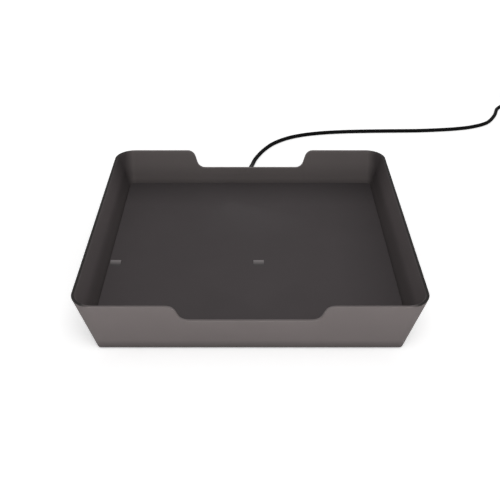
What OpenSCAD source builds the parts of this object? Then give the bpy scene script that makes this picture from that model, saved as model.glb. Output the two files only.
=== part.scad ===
// Wireless charging box: a flared square tray with a charging place on its floor, and its USB cable.
// The origin is at the middle of the box, on the surface that it stands on. +Y is the back, +Z is up.

/* [Tray shell] */
// Width of the tray across its rim
rim_w = 200; // [190:1:240]
// Depth of the tray across its rim
rim_d = 200; // [190:1:240]
// Height of the shell from its lower edge to its rim
tray_h = 37; // [35:0.5:50]
// How far each wall leans out between the lower edge and the rim
flare = 11.3; // [8:0.1:13]
// Radius of the vertical corners at the lower edge
base_corner_r = 2.5; // [2.4:0.1:5]
// Thickness of the walls
wall_t = 1.8; // [1.5:0.1:2.1]
// Height of the moulded floor above the lower edge
floor_top = 12.8; // [12.6:0.1:15]
// Thickness of the moulded floor
floor_t = 1.8; // [1.6:0.1:2.2]
// Thickness of the stiffening ribs under the floor
rib_t = 1.2; // [1:0.1:2]
// Depth of the stiffening ribs
rib_h = 4; // [2:0.5:5]

/* [Finger notches] */
// Width of the notches in the front and back walls at the rim
notch_w = 85.2; // [60:0.2:120]
// Depth of the notches below the rim
notch_depth = 12.2; // [10:0.1:14]
// Slope of the ends of the notches, in degrees
notch_slope = 72; // [60:1:76]
// Radius of the two bends at each end of a notch
notch_r = 6; // [4:0.1:6.4]

/* [Floor mat] */
// Thickness of the mat
mat_t = 1.2; // [0.8:0.1:2]
// Gap between the mat and the walls
mat_gap = 0.3; // [0.2:0.05:0.6]
// Length of a position nub, left to right
nub_l = 6.8; // [5:0.2:12]
// Width of a position nub, front to back
nub_w = 6.2; // [4:0.2:8]
// Height of a position nub's crest above the mat
nub_h = 0.9; // [0.4:0.1:1.2]
// Distance from a nub's crest to its rear face
nub_crest = 0.8; // [0.4:0.1:1.6]
// Distance between the middles of the two nubs
nub_spacing = 92; // [80:1:94]
// How far the nubs lie in front of the middle of the charging place
nub_forward = 20.8; // [0:0.2:30]

/* [Base cover] */
// Thickness of the cover
cover_t = 2.2; // [2:0.1:2.4]
// How far the cover lies above the shell's lower edge
cover_recess = 0.6; // [0.4:0.1:0.8]
// Gap between the cover and the shell
cover_gap = 0.25; // [0.15:0.05:0.4]
// Length of a vent slot
vent_l = 18; // [10:1:19]
// Width of a vent slot
vent_w = 2; // [1.2:0.1:2.6]
// Distance from one vent slot to the next
vent_pitch = 5; // [4:0.5:8]
// Number of vent slots
vent_count = 5; // [3:1:7]

/* [Feet] */
// Diameter of a foot
foot_d = 14; // [10:0.5:16]
// How far a foot stands out below the shell's lower edge
foot_proud = 0.8; // [0.6:0.1:1.5]
// How deep a foot is sunk into the cover
foot_sink = 0.6; // [0.4:0.1:0.8]
// Distance from a foot's middle to the corner screw beside it
foot_offset = 16; // [13:0.5:22]

/* [Cover screws and their bosses] */
// Diameter of a boss under the floor
boss_d = 7; // [6:0.5:9]
// Distance from a corner boss's middle to the inside of the wall
boss_inset = 11; // [9:0.5:14]
// Thread diameter of a cover screw
screw_d = 3; // [2.5:0.1:3.5]
// Length of a cover screw below its head
screw_l = 7; // [5:0.5:8]
// Diameter of a screw's head
head_d = 5.2; // [4.6:0.1:6]
// Height of a screw's head
head_h = 1.1; // [0.8:0.1:1.2]
// How deep the head lies below the cover's face
head_sink = 0.2; // [0.1:0.05:0.3]

/* [Charging coil] */
// Distance of the charging place's middle from the tray's left rim
spot_inset = 59.4; // [57:0.2:64]
// Middle of the charging place, behind the tray's middle
spot_y = 0; // [-8:1:4]
// Diameter of the coil's litz wire
wire_d = 0.9; // [0.7:0.05:0.95]
// Distance from one turn of the coil to the next
wire_pitch = 1.4; // [1.4:0.05:1.5]
// Number of turns
coil_turns = 10; // [8:1:11]
// Radius of the innermost turn
coil_in_r = 10.5; // [9:0.5:11]
// Width of ferrite that shows round the coil
ferrite_margin = 1.35; // [1:0.05:2]
// Thickness of the ferrite sheet
ferrite_t = 1.4; // [1.4:0.1:1.6]
// Thickness of the heat spreader
spreader_t = 0.8; // [0.5:0.1:1]
// Thickness of the carrier's base and ears
carrier_t = 1.5; // [1.2:0.1:1.8]
// Thickness of the carrier's side walls
carrier_wall = 1.2; // [1:0.1:1.6]
// Size of a carrier ear, each way
ear_w = 8; // [7:0.5:9]
// Distance of the ears from the carrier's middle, left and right
ear_x = 17; // [16:0.5:18]

/* [Circuit board] */
// Width of the board
board_w = 62; // [58:1:66]
// Depth of the board
board_d = 33; // [30:1:36]
// Thickness of the board
board_t = 1.2; // [1:0.1:1.4]
// How far the board's middle lies to the right of the socket
board_x = -6; // [-8:0.5:-4]
// Distance of the board's screws from its edges
board_hole_inset = 3.5; // [3:0.1:4.5]
// Diameter of the bosses that carry the board and the coil carrier
small_boss_d = 5; // [4.6:0.1:6]
// Thread diameter of the small screws
small_screw_d = 2; // [1.8:0.1:2.2]
// Length of the board screws below the head
board_screw_l = 3.6; // [3:0.1:4]
// Length of the carrier screws below the head
carrier_screw_l = 4; // [3.4:0.1:5]
// Head diameter of the small screws
small_head_d = 3.8; // [3.2:0.1:4]
// Head height of the small screws
small_head_h = 1.2; // [1:0.1:1.4]

/* [Inlet at the back] */
// Height of the socket's axis above the surface that the box stands on
inlet_z = 7; // [6.8:0.05:7.2]
// How deep the inlet's face lies in from the outside of the wall
inlet_depth = 5.5; // [4.5:0.1:6.5]
// Thickness of the inlet's face
bezel_t = 1.5; // [1.2:0.1:2]
// Clear space on each side of the plug in the inlet
well_gap = 1.1; // [0.8:0.1:1.6]
// Thickness of the inlet's side walls
well_wall = 1.4; // [1.2:0.1:2]
// Width of the socket's metal shell
socket_w = 8.94; // [8.9:0.01:9.1]
// Height of the socket's metal shell
socket_h = 3.26; // [3.22:0.01:3.4]
// Length of the socket
socket_l = 7.4; // [7.4:0.1:8.5]
// How far the socket overhangs the board's edge
socket_overhang = 2.2; // [2.1:0.1:3]
// Width of the socket's contact tongue
tongue_w = 6.69; // [6.4:0.01:6.8]
// Thickness of the contact tongue
tongue_t = 0.7; // [0.6:0.05:0.8]
// How far the contact tongue ends behind the socket's mouth
tongue_setback = 1.8; // [1.4:0.1:2.4]

/* [Cable plugs] */
// Thickness of the plugs' and socket's sheet metal
sheet_t = 0.3; // [0.25:0.05:0.35]
// Clearance between the plug's tip and the socket, all round
tip_gap = 0.06; // [0.02:0.01:0.1]
// Length of the plug's tip
tip_l = 6.65; // [6:0.05:6.65]
// Width of the grip of the plug at the box
c_grip_w = 12.4; // [11:0.1:13]
// Height of that grip
c_grip_h = 6; // [5.4:0.1:6.2]
// Length of that grip
c_grip_l = 21; // [16:0.5:26]
// Corner radius of that grip
c_grip_r = 2.4; // [1.5:0.1:2.6]
// Gap between the grip and the inlet's face when the plug is in
seat_gap = 0.4; // [0.2:0.1:1]
// Width of the far plug's grip
a_grip_w = 15.8; // [14:0.1:17]
// Height of the far plug's grip
a_grip_h = 8; // [7:0.1:9]
// Length of the far plug's grip
a_grip_l = 24; // [20:0.5:30]
// Corner radius of the far plug's grip
a_grip_r = 2.6; // [1.5:0.1:3.4]
// Width of the far plug's metal shell
a_shell_w = 12; // [11.9:0.05:12.1]
// Height of the far plug's metal shell
a_shell_h = 4.5; // [4.4:0.05:4.6]
// Length of the far plug's metal shell outside the grip
a_shell_l = 12; // [11:0.1:13]
// Thickness of the far plug's contact block
a_insert_t = 1.9; // [1.6:0.1:2]
// Length of a strain relief
relief_l = 11.7; // [8:0.1:16]
// Diameter of a strain relief where it leaves the grip
relief_d = 5; // [4.4:0.1:5.6]

/* [Cord] */
// Diameter of the cord
cord_d = 3.3; // [2.8:0.1:3.3]
// Number of turns in each of the four layers of the wound coil
layer_turns = 2.25; // [2.25:0.5:2.75]
// Radius of the wound coil's innermost turn
wound_in_r = 12; // [12:0.1:15]
// Distance from one turn or layer of the wound coil to the next
wound_pitch = 3.75; // [3.75:0.05:4.2]
// Width of the strap round the wound coil
tie_w = 10; // [6:0.5:14]
// Thickness of the strap
tie_t = 0.6; // [0.5:0.05:0.8]

/* [Hidden] */
$fn = 72;

// How far a cut runs past the face that it opens
over = 1;
// Room between parts that are set beside each other without touching
slack = 0.3;
// Radial room between a screw and its hole, which the thread fills
thread_gap = 0.05;
// Radial room of a screw that passes through a plate
pass_gap = 0.2;
// Width and depth of the cross in a screw's head, as shares of the head
cross_w_share = 0.16;
cross_l_share = 0.62;
cross_h_share = 0.6;

// Heights above the surface that the box stands on
edge_z = foot_proud;
rim_z = edge_z + tray_h;
floor_z = edge_z + floor_top;
under_z = floor_z - floor_t;
mat_z = floor_z + mat_t;
cover_z = edge_z + cover_recess;
cover_top_z = cover_z + cover_t;

// The walls: how they lean, and their thickness measured level
lean = atan(flare / tray_h);
wall_level = wall_t / cos(lean);
// The upright axes of the four conical corners
corner_x = rim_w / 2 - flare - base_corner_r;
corner_y = rim_d / 2 - flare - base_corner_r;

// The outside of the shell at a height: radius of the corners, half width and half depth
function corner_r(z) = base_corner_r + flare * (z - edge_z) / tray_h;
function half_w(z) = corner_x + corner_r(z);
function half_d(z) = corner_y + corner_r(z);

// Screw bosses stand in rows, at shares of the corner boss's place; the inlet takes the back's middle
boss_x = half_w(edge_z) - wall_level - boss_inset;
boss_y = half_d(edge_z) - wall_level - boss_inset;
boss_place_shares = [[-1, -1], [0, -1], [1, -1], [-1, 0], [1, 0], [-1, 1], [1, 1]];
pilot_spare = 0.4;
rib_place_shares = [0.25, 0.75];

// The charging place keeps its distance from the left wall
spot_x = spot_inset - rim_w / 2;

// The coil stack hangs below the floor: wire, ferrite, spreader and carrier
glue_t = 0.05;
wire_z = under_z - glue_t - wire_d / 2;
lead_turn_share = 0.25;
spiral_turns = coil_turns - lead_turn_share;
spiral_start_r = coil_in_r + spiral_turns * wire_pitch;
coil_out_r = spiral_start_r + wire_d / 2;
ferrite_w = 2 * (coil_out_r + ferrite_margin);
ferrite_z = wire_z - wire_d / 2 - glue_t - ferrite_t;
spreader_z = ferrite_z - spreader_t;
carrier_z = spreader_z - carrier_t;
carrier_in_w = ferrite_w + slack;
carrier_w = carrier_in_w + 2 * carrier_wall;
ear_y = carrier_w / 2 + ear_w / 2;
ear_top_z = carrier_z + carrier_t;
lead_slot_w = wire_d + 2 * slack;

// The inlet and the board that its socket stands on
inlet_y = half_d(inlet_z) - inlet_depth;
well_w = c_grip_w + 2 * well_gap;
well_top_z = inlet_z + c_grip_h / 2 + slack;
well_y = inlet_y - bezel_t - slack;
board_z = inlet_z + socket_h / 2;
board_top_z = board_z + board_t;
board_back_y = inlet_y - socket_overhang;
board_y = board_back_y - board_d / 2;
board_hole_x = board_w / 2 - board_hole_inset;
board_hole_y = board_d / 2 - board_hole_inset;
pad_y = board_back_y - board_d + board_hole_inset;

// Components that hang below the board, side by side from its left edge: cases, gaps and middles
case_edge_gap = 5.5;
case_gap = 2.6;
resonant_w = 5.7;
resonant_d = 5;
resonant_h = 2.5;
resonant_gap = 0.7;
resonant_x = case_edge_gap + resonant_w + resonant_gap / 2;
bridge_w = 3.3;
bridge_h = 0.8;
bridge_gap = 1.3;
bridge_x = resonant_x + resonant_gap / 2 + resonant_w + case_gap + bridge_w + bridge_gap / 2;
chip_w = 6;
chip_h = 0.9;
chip_x = bridge_x + bridge_gap / 2 + bridge_w + case_gap + chip_w / 2;
dimple_share = 0.125;
inductor_w = 7;
inductor_h = 3;
inductor_x = chip_x + chip_w / 2 + case_gap + inductor_w / 2;
inductor_foot_shares = [0.8, 0.9, 0.16];
input_w = 3.5;
input_d = 2.8;
input_h = 1.9;
input_gap = 0.9;
input_y = -inductor_w / 2 - case_gap - input_d / 2;
case_corner_share = 0.08;

// The plug at the box: its tip is a little smaller than the inside of the socket
tip_w = socket_w - 2 * (sheet_t + tip_gap);
tip_h = socket_h - 2 * (sheet_t + tip_gap);
c_grip_y = inlet_y + seat_gap;
c_relief_y = c_grip_y + c_grip_l;
exit_y = c_relief_y + relief_l;
relief_end_d = cord_d + 2 * slack;
relief_ring_share = 0.12;
relief_ring_depth = 0.4;
relief_rings = 3;

// Route of the cord from the plug at the box: it drops to the surface and runs away to the right
cord_sides = 8;
lie_z = cord_d / 2;
cord_route = [
    [0, 121.5, 7], [0, 128, 6.6], [0.4, 138, 4.2], [1.8, 147.7, 2.2], [4.8, 160.6, lie_z],
    [11.4, 176.3, lie_z], [20.4, 190.3, lie_z], [33, 201.4, lie_z], [47.6, 208.5, lie_z],
    [64.9, 212.9, lie_z], [82.2, 215.2, lie_z], [99.5, 216.3, lie_z], [116.7, 216.9, lie_z],
    [133.9, 217.3, lie_z], [152, 217.8, lie_z], [168.6, 219.3, lie_z], [186.3, 221.8, lie_z],
    [202.8, 226.5, lie_z], [218.4, 235.9, lie_z], [229.7, 253.1, lie_z], [236.6, 269.4, lie_z],
    [247.4, 281.4, lie_z], [251.2, 288.5, lie_z + 0.2], [252, 293, lie_z + 0.3], [252, 296, lie_z + 0.3]
];

// The flat coil in one line of wire: outer lead, spiral towards the middle, and the inner lead, which
// drops into the ferrite's slot and passes below the turns. Places are from the coil's middle.
spiral_rings = 24;
lead_bend_r = 4 * wire_d;
lead_drop_l = 3 * wire_pitch;
lead_end_y = pad_y - spot_y;
lead_end_z = board_top_z + wire_d / 2 + glue_t;
slot_steps = ceil((ferrite_w / 2 - lead_drop_l) / wire_pitch);
outer_lead = concat(
    [[coil_out_r, lead_end_y, lead_end_z], [coil_out_r, lead_end_y - lead_bend_r, lead_end_z],
        [coil_out_r, spiral_start_r + 2 * lead_bend_r, wire_z]],
    [for (a = [0 : -30 : -90])
        [coil_out_r + lead_bend_r * (cos(a) - 1), spiral_start_r + lead_bend_r * (sin(a) + 1), wire_z]]
);
spiral = [
    for (i = [0 : round(spiral_turns * spiral_rings)])
        let (t = i / spiral_rings, r = coil_in_r + wire_pitch * (spiral_turns - t), a = 90 + 360 * t)
        [r * cos(a), r * sin(a), wire_z]
];
inner_lead = concat(
    [for (t = [0.25 : 0.25 : 1])
        [coil_in_r, lead_drop_l * t, wire_z - ferrite_t * (1 - cos(180 * t)) / 2]],
    [for (i = [1 : slot_steps]) [coil_in_r, lead_drop_l + i * wire_pitch, wire_z - ferrite_t]],
    [[coil_in_r, lead_end_y - lead_bend_r, lead_end_z], [coil_in_r, lead_end_y, lead_end_z]]
);
coil_line = concat(outer_lead, spiral, inner_lead);

// The wound coil: it winds clockwise in four layers, in and out again, and ends on top
wound_sides = 6;
wound_rings = 24;
layer_count = 4;
climb_turns = 0.5;
wound_turns = layer_count * layer_turns + (layer_count - 1) * climb_turns;
layer_span = layer_turns + climb_turns;
wound_out_r = wound_in_r + wound_pitch * layer_span;
wound_start = cord_route[len(cord_route) - 1];
wound_start_r = wound_out_r - wound_pitch * climb_turns / 2;
wound_x = wound_start.x + wound_start_r;
wound_y = wound_start.y + cord_d;
wound_z = wound_start.z;
wound_flat = cord_d / 2 * cos(180 / wound_sides);

// The tail from the wound coil to the far plug, which lies beside it; its ends are straight and level
tail_l = 30;
tail_rings = 8;
a_axis_z = a_grip_h / 2;

function unit(v) = v / norm(v);

// The direction of a route at each of its points
function directions(route) = [
    for (i = [0 : len(route) - 1])
        unit(route[min(i + 1, len(route) - 1)] - route[max(i - 1, 0)])
];

// One ring of a tube, square to the direction that the tube takes there
function ring(middle, along, radius, sides) =
    let (side = unit(cross(along, [0, 0, 1])), up = cross(side, along))
    [for (k = [0 : sides - 1])
        let (a = 360 * (k + 0.5) / sides)
        middle + radius * (cos(a) * side + sin(a) * up)];

// A smooth curve through the points of a route: one point is added halfway along each stretch, except
// in the first and the last, which stay straight
function smooth_route(route) = [
    route[0],
    for (i = [1 : len(route) - 3])
        each [route[i], (9 * (route[i] + route[i + 1]) - route[i - 1] - route[i + 2]) / 16],
    route[len(route) - 2],
    route[len(route) - 1]
];

// How far the wound coil has wound inwards after some turns, in turns, to and fro
function wound_in(turns) =
    let (u = (turns + climb_turns / 2) % (2 * layer_span))
    u < layer_span ? u : 2 * layer_span - u;

// Which layer the wound coil is on after some turns, climbing smoothly in each reversal
function wound_layer(turns) = [
    for (k = [1 : layer_count - 1])
        let (t = (turns + climb_turns - k * layer_span) / climb_turns)
        (1 - cos(180 * min(max(t, 0), 1))) / 2
] * [for (k = [1 : layer_count - 1]) 1];

function wound_point(turns) =
    let (r = wound_out_r - wound_pitch * wound_in(turns), a = 180 - 360 * turns)
    [wound_x + r * cos(a), wound_y + r * sin(a), wound_z + wound_pitch * wound_layer(turns)];

wound_middle = [
    for (i = [0 : round(wound_turns * wound_rings)]) wound_point(i / wound_rings)
];
wound_end = wound_middle[len(wound_middle) - 1] - [0, cord_d, 0];
wound_route = concat([wound_start], wound_middle, [wound_end]);

// The least gap of a wound line to itself, measured between points half a turn or more apart
function least_gap(route, rings, d) = min([
    for (i = [0 : len(route) - 1], j = [i + rings / 2 : 1 : len(route) - 1]) norm(route[i] - route[j])
]) - d;
echo(least_gap_in_wound_cord = least_gap(wound_middle, wound_rings, cord_d));
echo(least_gap_in_flat_coil = least_gap(coil_line, spiral_rings, wire_d));

function length_of(route) =
    [for (i = [1 : len(route) - 1]) norm(route[i] - route[i - 1])] * [for (i = [1 : len(route) - 1]) 1];

cord_line = smooth_route(concat([[0, exit_y, inlet_z]], cord_route));
tail_line = concat(
    [wound_end],
    [for (i = [0 : tail_rings - 1])
        let (t = i / (tail_rings - 1), drop = (a_axis_z - wound_end.z) * (1 - cos(180 * t)) / 2)
        wound_end + [0, -cord_d - (tail_l - 2 * cord_d) * t, drop]],
    [wound_end + [0, -tail_l, a_axis_z - wound_end.z]]
);
a_relief_y = wound_end.y - tail_l;
a_grip_y = a_relief_y - relief_l;
echo(cord_length = length_of(cord_line) + length_of(wound_route) + length_of(tail_line));

// A tube of triangles along a route
module tube(route, radius, sides) {
    along = directions(route);
    last = (len(route) - 1) * sides;
    points = [for (i = [0 : len(route) - 1]) each ring(route[i], along[i], radius, sides)];
    walls = [
        for (i = [0 : len(route) - 2], k = [0 : sides - 1])
            let (a = i * sides + k, b = i * sides + (k + 1) % sides)
            each [[a, b, b + sides], [a, b + sides, a + sides]]
    ];
    start_cap = [for (k = [1 : sides - 2]) [0, k + 1, k]];
    end_cap = [for (k = [1 : sides - 2]) [last, last + k, last + k + 1]];
    polyhedron(points = points, faces = concat(walls, start_cap, end_cap));
}

// The solid between two heights inside the shell's leaning outer surface, drawn in by an inset
module flared_block(low, high, inset) {
    low_r = corner_r(low) - inset;
    high_r = corner_r(high) - inset;
    for (i = [0 : 3])
        translate([(i == 0 || i == 3 ? 1 : -1) * corner_x, (i < 2 ? 1 : -1) * corner_y, 0])
            rotate([0, 0, 90 * i])
                rotate_extrude(angle = 90)
                    polygon([[0, low], [low_r, low], [high_r, high], [0, high]]);
    rotate([90, 0, 0])
        linear_extrude(height = 2 * corner_y, center = true)
            polygon([[-corner_x - low_r, low], [corner_x + low_r, low],
                [corner_x + high_r, high], [-corner_x - high_r, high]]);
    rotate([90, 0, 90])
        linear_extrude(height = 2 * corner_x, center = true)
            polygon([[-corner_y - low_r, low], [corner_y + low_r, low],
                [corner_y + high_r, high], [-corner_y - high_r, high]]);
}

// The leaning walls between two heights, drawn by their own section: corners first, then straights
module flared_wall(low, high) {
    low_r = corner_r(low);
    high_r = corner_r(high);
    section = [[low_r - wall_level, low], [low_r, low], [high_r, high], [high_r - wall_level, high]];
    for (i = [0 : 3])
        translate([(i == 0 || i == 3 ? 1 : -1) * corner_x, (i < 2 ? 1 : -1) * corner_y, 0])
            rotate([0, 0, 90 * i])
                rotate_extrude(angle = 90)
                    polygon(section);
    for (i = [0 : 3]) {
        reach = i % 2 == 0 ? corner_x : corner_y;
        along = i % 2 == 0 ? corner_y : corner_x;
        rotate([0, 0, 90 * i])
            translate([reach, 0, 0])
                rotate([90, 0, 0])
                    linear_extrude(height = 2 * along, center = true)
                        polygon(section);
    }
}

// An upright plate with rounded corners, its middle at the origin and its foot at z = 0
module rounded_plate(w, d, h, r) {
    translate([-w / 2 + r, -d / 2, 0]) cube([w - 2 * r, d, h]);
    translate([-w / 2, -d / 2 + r, 0]) cube([w, d - 2 * r, h]);
    for (x = [-1, 1], y = [-1, 1])
        translate([x * (w / 2 - r), y * (d / 2 - r), 0]) cylinder(h = h, r = r);
}

// A bar along +Y with rounded corners, its axis on the Y axis
module rounded_bar(w, h, l, r) {
    translate([0, l, 0]) rotate([90, 0, 0]) rounded_plate(w, h, l, r);
}

// A bar along +Y with half-round sides
module oval_bar(w, h, l) {
    translate([-(w - h) / 2, 0, -h / 2]) cube([w - h, l, h]);
    for (x = [-1, 1])
        translate([x * (w - h) / 2, 0, 0]) rotate([-90, 0, 0]) cylinder(h = l, d = h);
}

// A screw with its head's underside at z = 0, pointing up, and a cross in its head
module screw(thread, length, head, head_height) {
    cross_w = head * cross_w_share;
    cross_l = head * cross_l_share;
    cross_h = head_height * cross_h_share;
    cylinder(h = length, d = thread);
    difference() {
        translate([0, 0, -head_height]) cylinder(h = head_height, d = head);
        for (a = [0, 90])
            rotate([0, 0, a])
                translate([-cross_l / 2, -cross_w / 2, -head_height - over])
                    cube([cross_l, cross_w, cross_h + over]);
    }
}

// Places of the cover screws, of the feet, of the carrier's ears and of the board's holes
module at_bosses() {
    for (p = boss_place_shares) translate([p.x * boss_x, p.y * boss_y, 0]) children();
}

module at_feet() {
    for (x = [-1, 1], y = [-1, 1]) translate([x * (boss_x - foot_offset), y * boss_y, 0]) children();
}

module at_ears() {
    for (x = [-1, 1], y = [-1, 1]) translate([spot_x + x * ear_x, spot_y + y * ear_y, 0]) children();
}

module at_board_holes() {
    for (x = [-1, 1], y = [-1, 1])
        translate([board_x + x * board_hole_x, board_y + y * board_hole_y, 0]) children();
}

// A place on the board's lower face, from the middle of its left edge
module on_board(x, y) {
    translate([board_x - board_w / 2 + x, board_y + y, board_z]) children();
}

// The cut for a notch, seen from the front, with tangent bends at the rim and at its bottom
module notch_outline() {
    tangent = notch_r * tan(notch_slope / 2);
    top = notch_w / 2;
    bottom = top - notch_depth / tan(notch_slope);
    bottom_z = rim_z - notch_depth;
    slope_x = tangent * cos(notch_slope);
    slope_z = tangent * sin(notch_slope);
    difference() {
        polygon([
            [-top - tangent, rim_z + over], [-top - tangent, rim_z], [-top + slope_x, rim_z - slope_z],
            [-bottom - slope_x, bottom_z + slope_z], [-bottom + tangent, bottom_z],
            [bottom - tangent, bottom_z], [bottom + slope_x, bottom_z + slope_z],
            [top - slope_x, rim_z - slope_z], [top + tangent, rim_z], [top + tangent, rim_z + over]
        ]);
        for (x = [-1, 1]) translate([x * (top + tangent), rim_z - notch_r]) circle(r = notch_r);
    }
    for (x = [-1, 1]) translate([x * (bottom - tangent), bottom_z + notch_r]) circle(r = notch_r);
}

// The stiffening ribs: a frame through the outer bosses and two lines in the free half
module floor_ribs() {
    front_y = spot_y - ear_y - ear_w;
    rib_z = under_z - rib_h;
    intersection() {
        flared_block(rib_z, floor_z - floor_t / 2, wall_level / 2);
        union() {
            for (x = [-1, 1])
                translate([x * boss_x - rib_t / 2, -half_d(rim_z), rib_z])
                    cube([rib_t, 2 * half_d(rim_z), rib_h + floor_t / 2]);
            for (y = [-boss_y, front_y])
                translate([-half_w(rim_z), y - rib_t / 2, rib_z])
                    cube([2 * half_w(rim_z), rib_t, rib_h + floor_t / 2]);
            for (share = rib_place_shares)
                translate([share * boss_x - rib_t / 2, -half_d(rim_z), rib_z])
                    cube([rib_t, half_d(rim_z) + pad_y - board_hole_inset - slack, rib_h + floor_t / 2]);
        }
    }
}

// The box round the inlet, inside the back wall
module inlet_block() {
    block_w = well_w + 2 * well_wall;
    translate([-block_w / 2, well_y, cover_top_z])
        cube([block_w, half_d(cover_top_z) - wall_level / 2 - well_y, under_z - cover_top_z + floor_t / 2]);
}

// The inlet's opening through the back wall, with rounded upper corners
module inlet_cut() {
    cut_l = rim_d / 2 - well_y + over;
    translate([0, well_y - over, 0]) {
        translate([-well_w / 2 + c_grip_r, 0, edge_z - over])
            cube([well_w - 2 * c_grip_r, cut_l, well_top_z - edge_z + over]);
        translate([-well_w / 2, 0, edge_z - over])
            cube([well_w, cut_l, well_top_z - c_grip_r - edge_z + over]);
        for (x = [-1, 1])
            translate([x * (well_w / 2 - c_grip_r), 0, well_top_z - c_grip_r])
                rotate([-90, 0, 0])
                    cylinder(h = cut_l, r = c_grip_r);
    }
}

module tray_shell() {
    color("#6f6a68")
        difference() {
            union() {
                difference() {
                    flared_wall(edge_z, rim_z);
                    rotate([90, 0, 0])
                        linear_extrude(height = rim_d + 2 * over, center = true)
                            notch_outline();
                }
                flared_block(under_z, floor_z, wall_level / 2);
                difference() {
                    union() {
                        floor_ribs();
                        inlet_block();
                    }
                    inlet_cut();
                }
                at_bosses()
                    translate([0, 0, cover_top_z])
                        cylinder(h = under_z - cover_top_z + floor_t / 2, d = boss_d);
                at_ears()
                    translate([0, 0, ear_top_z])
                        cylinder(h = under_z - ear_top_z + floor_t / 2, d = small_boss_d);
                at_board_holes()
                    translate([0, 0, board_top_z])
                        cylinder(h = under_z - board_top_z + floor_t / 2, d = small_boss_d);
                // The tab that closes the inlet's face above the socket
                translate([-socket_w / 2, inlet_y - bezel_t, inlet_z + socket_h / 2 + slack / 2])
                    cube([socket_w, bezel_t, under_z - inlet_z - socket_h / 2]);
            }
            // The opening of the inlet through the leaning back wall
            intersection() {
                inlet_cut();
                translate([-rim_w / 2, inlet_y, edge_z - over]) cube([rim_w, rim_d, under_z]);
            }
            at_bosses()
                translate([0, 0, cover_top_z - over])
                    cylinder(h = screw_l + pilot_spare + over, d = screw_d + 2 * thread_gap);
            at_ears()
                translate([0, 0, ear_top_z - over])
                    cylinder(h = carrier_screw_l - carrier_t + pilot_spare + over,
                        d = small_screw_d + 2 * thread_gap);
            at_board_holes()
                translate([0, 0, board_top_z - over])
                    cylinder(h = board_screw_l - board_t + pilot_spare + over,
                        d = small_screw_d + 2 * thread_gap);
        }
}

// One low ridge that rises gently from the front to its crest, with a steep rear face
module nub() {
    bed_z = floor_z + mat_t / 2;
    translate([-nub_l / 2, 0, 0])
        rotate([90, 0, 90])
            linear_extrude(height = nub_l)
                polygon([
                    [-nub_w / 2, bed_z], [nub_w / 2, bed_z], [nub_w / 2, mat_z],
                    [nub_w / 2 - nub_crest, mat_z + nub_h], [-nub_w / 2, mat_z]
                ]);
}

module tray_mat() {
    nub_limit = half_w(floor_z) - wall_level - mat_gap;
    color("#434041") {
        flared_block(floor_z, mat_z, wall_level + mat_gap);
        // The nubs stand in the mat and end where it does
        intersection() {
            translate([-nub_limit, spot_y - rim_d / 2, floor_z + mat_t / 2])
                cube([2 * nub_limit, rim_d, mat_t + nub_h]);
            for (x = [-1, 1])
                translate([spot_x + x * nub_spacing / 2, spot_y - nub_forward, 0]) nub();
        }
    }
}

module base_cover() {
    in_w = half_w(cover_z) - wall_level - cover_gap;
    in_d = half_d(cover_z) - wall_level - cover_gap;
    vents_l = (vent_count - 1) * vent_pitch;
    sill_w = well_w - 2 * cover_gap;
    color("#3c3a3a")
        difference() {
            union() {
                translate([0, 0, cover_z])
                    rounded_plate(2 * in_w, 2 * in_d, cover_t, corner_r(cover_z) - wall_level - cover_gap);
                // The sill fills the foot of the inlet's opening
                translate([-sill_w / 2, well_y, edge_z])
                    cube([sill_w, half_d(edge_z) - slack - well_y, cover_top_z - edge_z]);
                // The inlet's face stands on the cover
                translate([-sill_w / 2, inlet_y - bezel_t, cover_z])
                    cube([sill_w, bezel_t, well_top_z - cover_gap - cover_z]);
            }
            // The socket's mouth in the inlet's face, open at the top
            translate([0, inlet_y - bezel_t - over, inlet_z])
                oval_bar(socket_w + slack, socket_h + slack, bezel_t + 2 * over);
            translate([-(socket_w + slack) / 2, inlet_y - bezel_t - over, inlet_z])
                cube([socket_w + slack, bezel_t + 2 * over, c_grip_h]);
            at_bosses() {
                translate([0, 0, cover_z - over])
                    cylinder(h = cover_t + 2 * over, d = screw_d + 2 * pass_gap);
                translate([0, 0, cover_z - over])
                    cylinder(h = head_h + head_sink + over, d = head_d + 2 * pass_gap);
            }
            at_feet() translate([0, 0, cover_z - over]) cylinder(h = foot_sink + over, d = foot_d + slack);
            for (i = [0 : vent_count - 1])
                translate([spot_x - vents_l / 2 + i * vent_pitch, spot_y - vent_l / 2, cover_z - over]) {
                    translate([-vent_w / 2, vent_w / 2, 0])
                        cube([vent_w, vent_l - vent_w, cover_t + 2 * over]);
                    for (y = [vent_w / 2, vent_l - vent_w / 2])
                        translate([0, y, 0]) cylinder(h = cover_t + 2 * over, d = vent_w);
                }
        }
}

module cover_screws() {
    color("#8b8d90")
        at_bosses() translate([0, 0, cover_z + head_h + head_sink]) screw(screw_d, screw_l, head_d, head_h);
}

module rubber_feet() {
    color("#262626") at_feet() cylinder(h = cover_z + foot_sink, d = foot_d);
}

// A square sheet of the coil stack, with the slot that the inner lead needs
module slotted_sheet(z, t) {
    difference() {
        translate([spot_x - ferrite_w / 2, spot_y - ferrite_w / 2, z]) cube([ferrite_w, ferrite_w, t]);
        translate([spot_x + coil_in_r - lead_slot_w / 2, spot_y - lead_slot_w, z - over])
            cube([lead_slot_w, ferrite_w, t + 2 * over]);
    }
}

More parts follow.
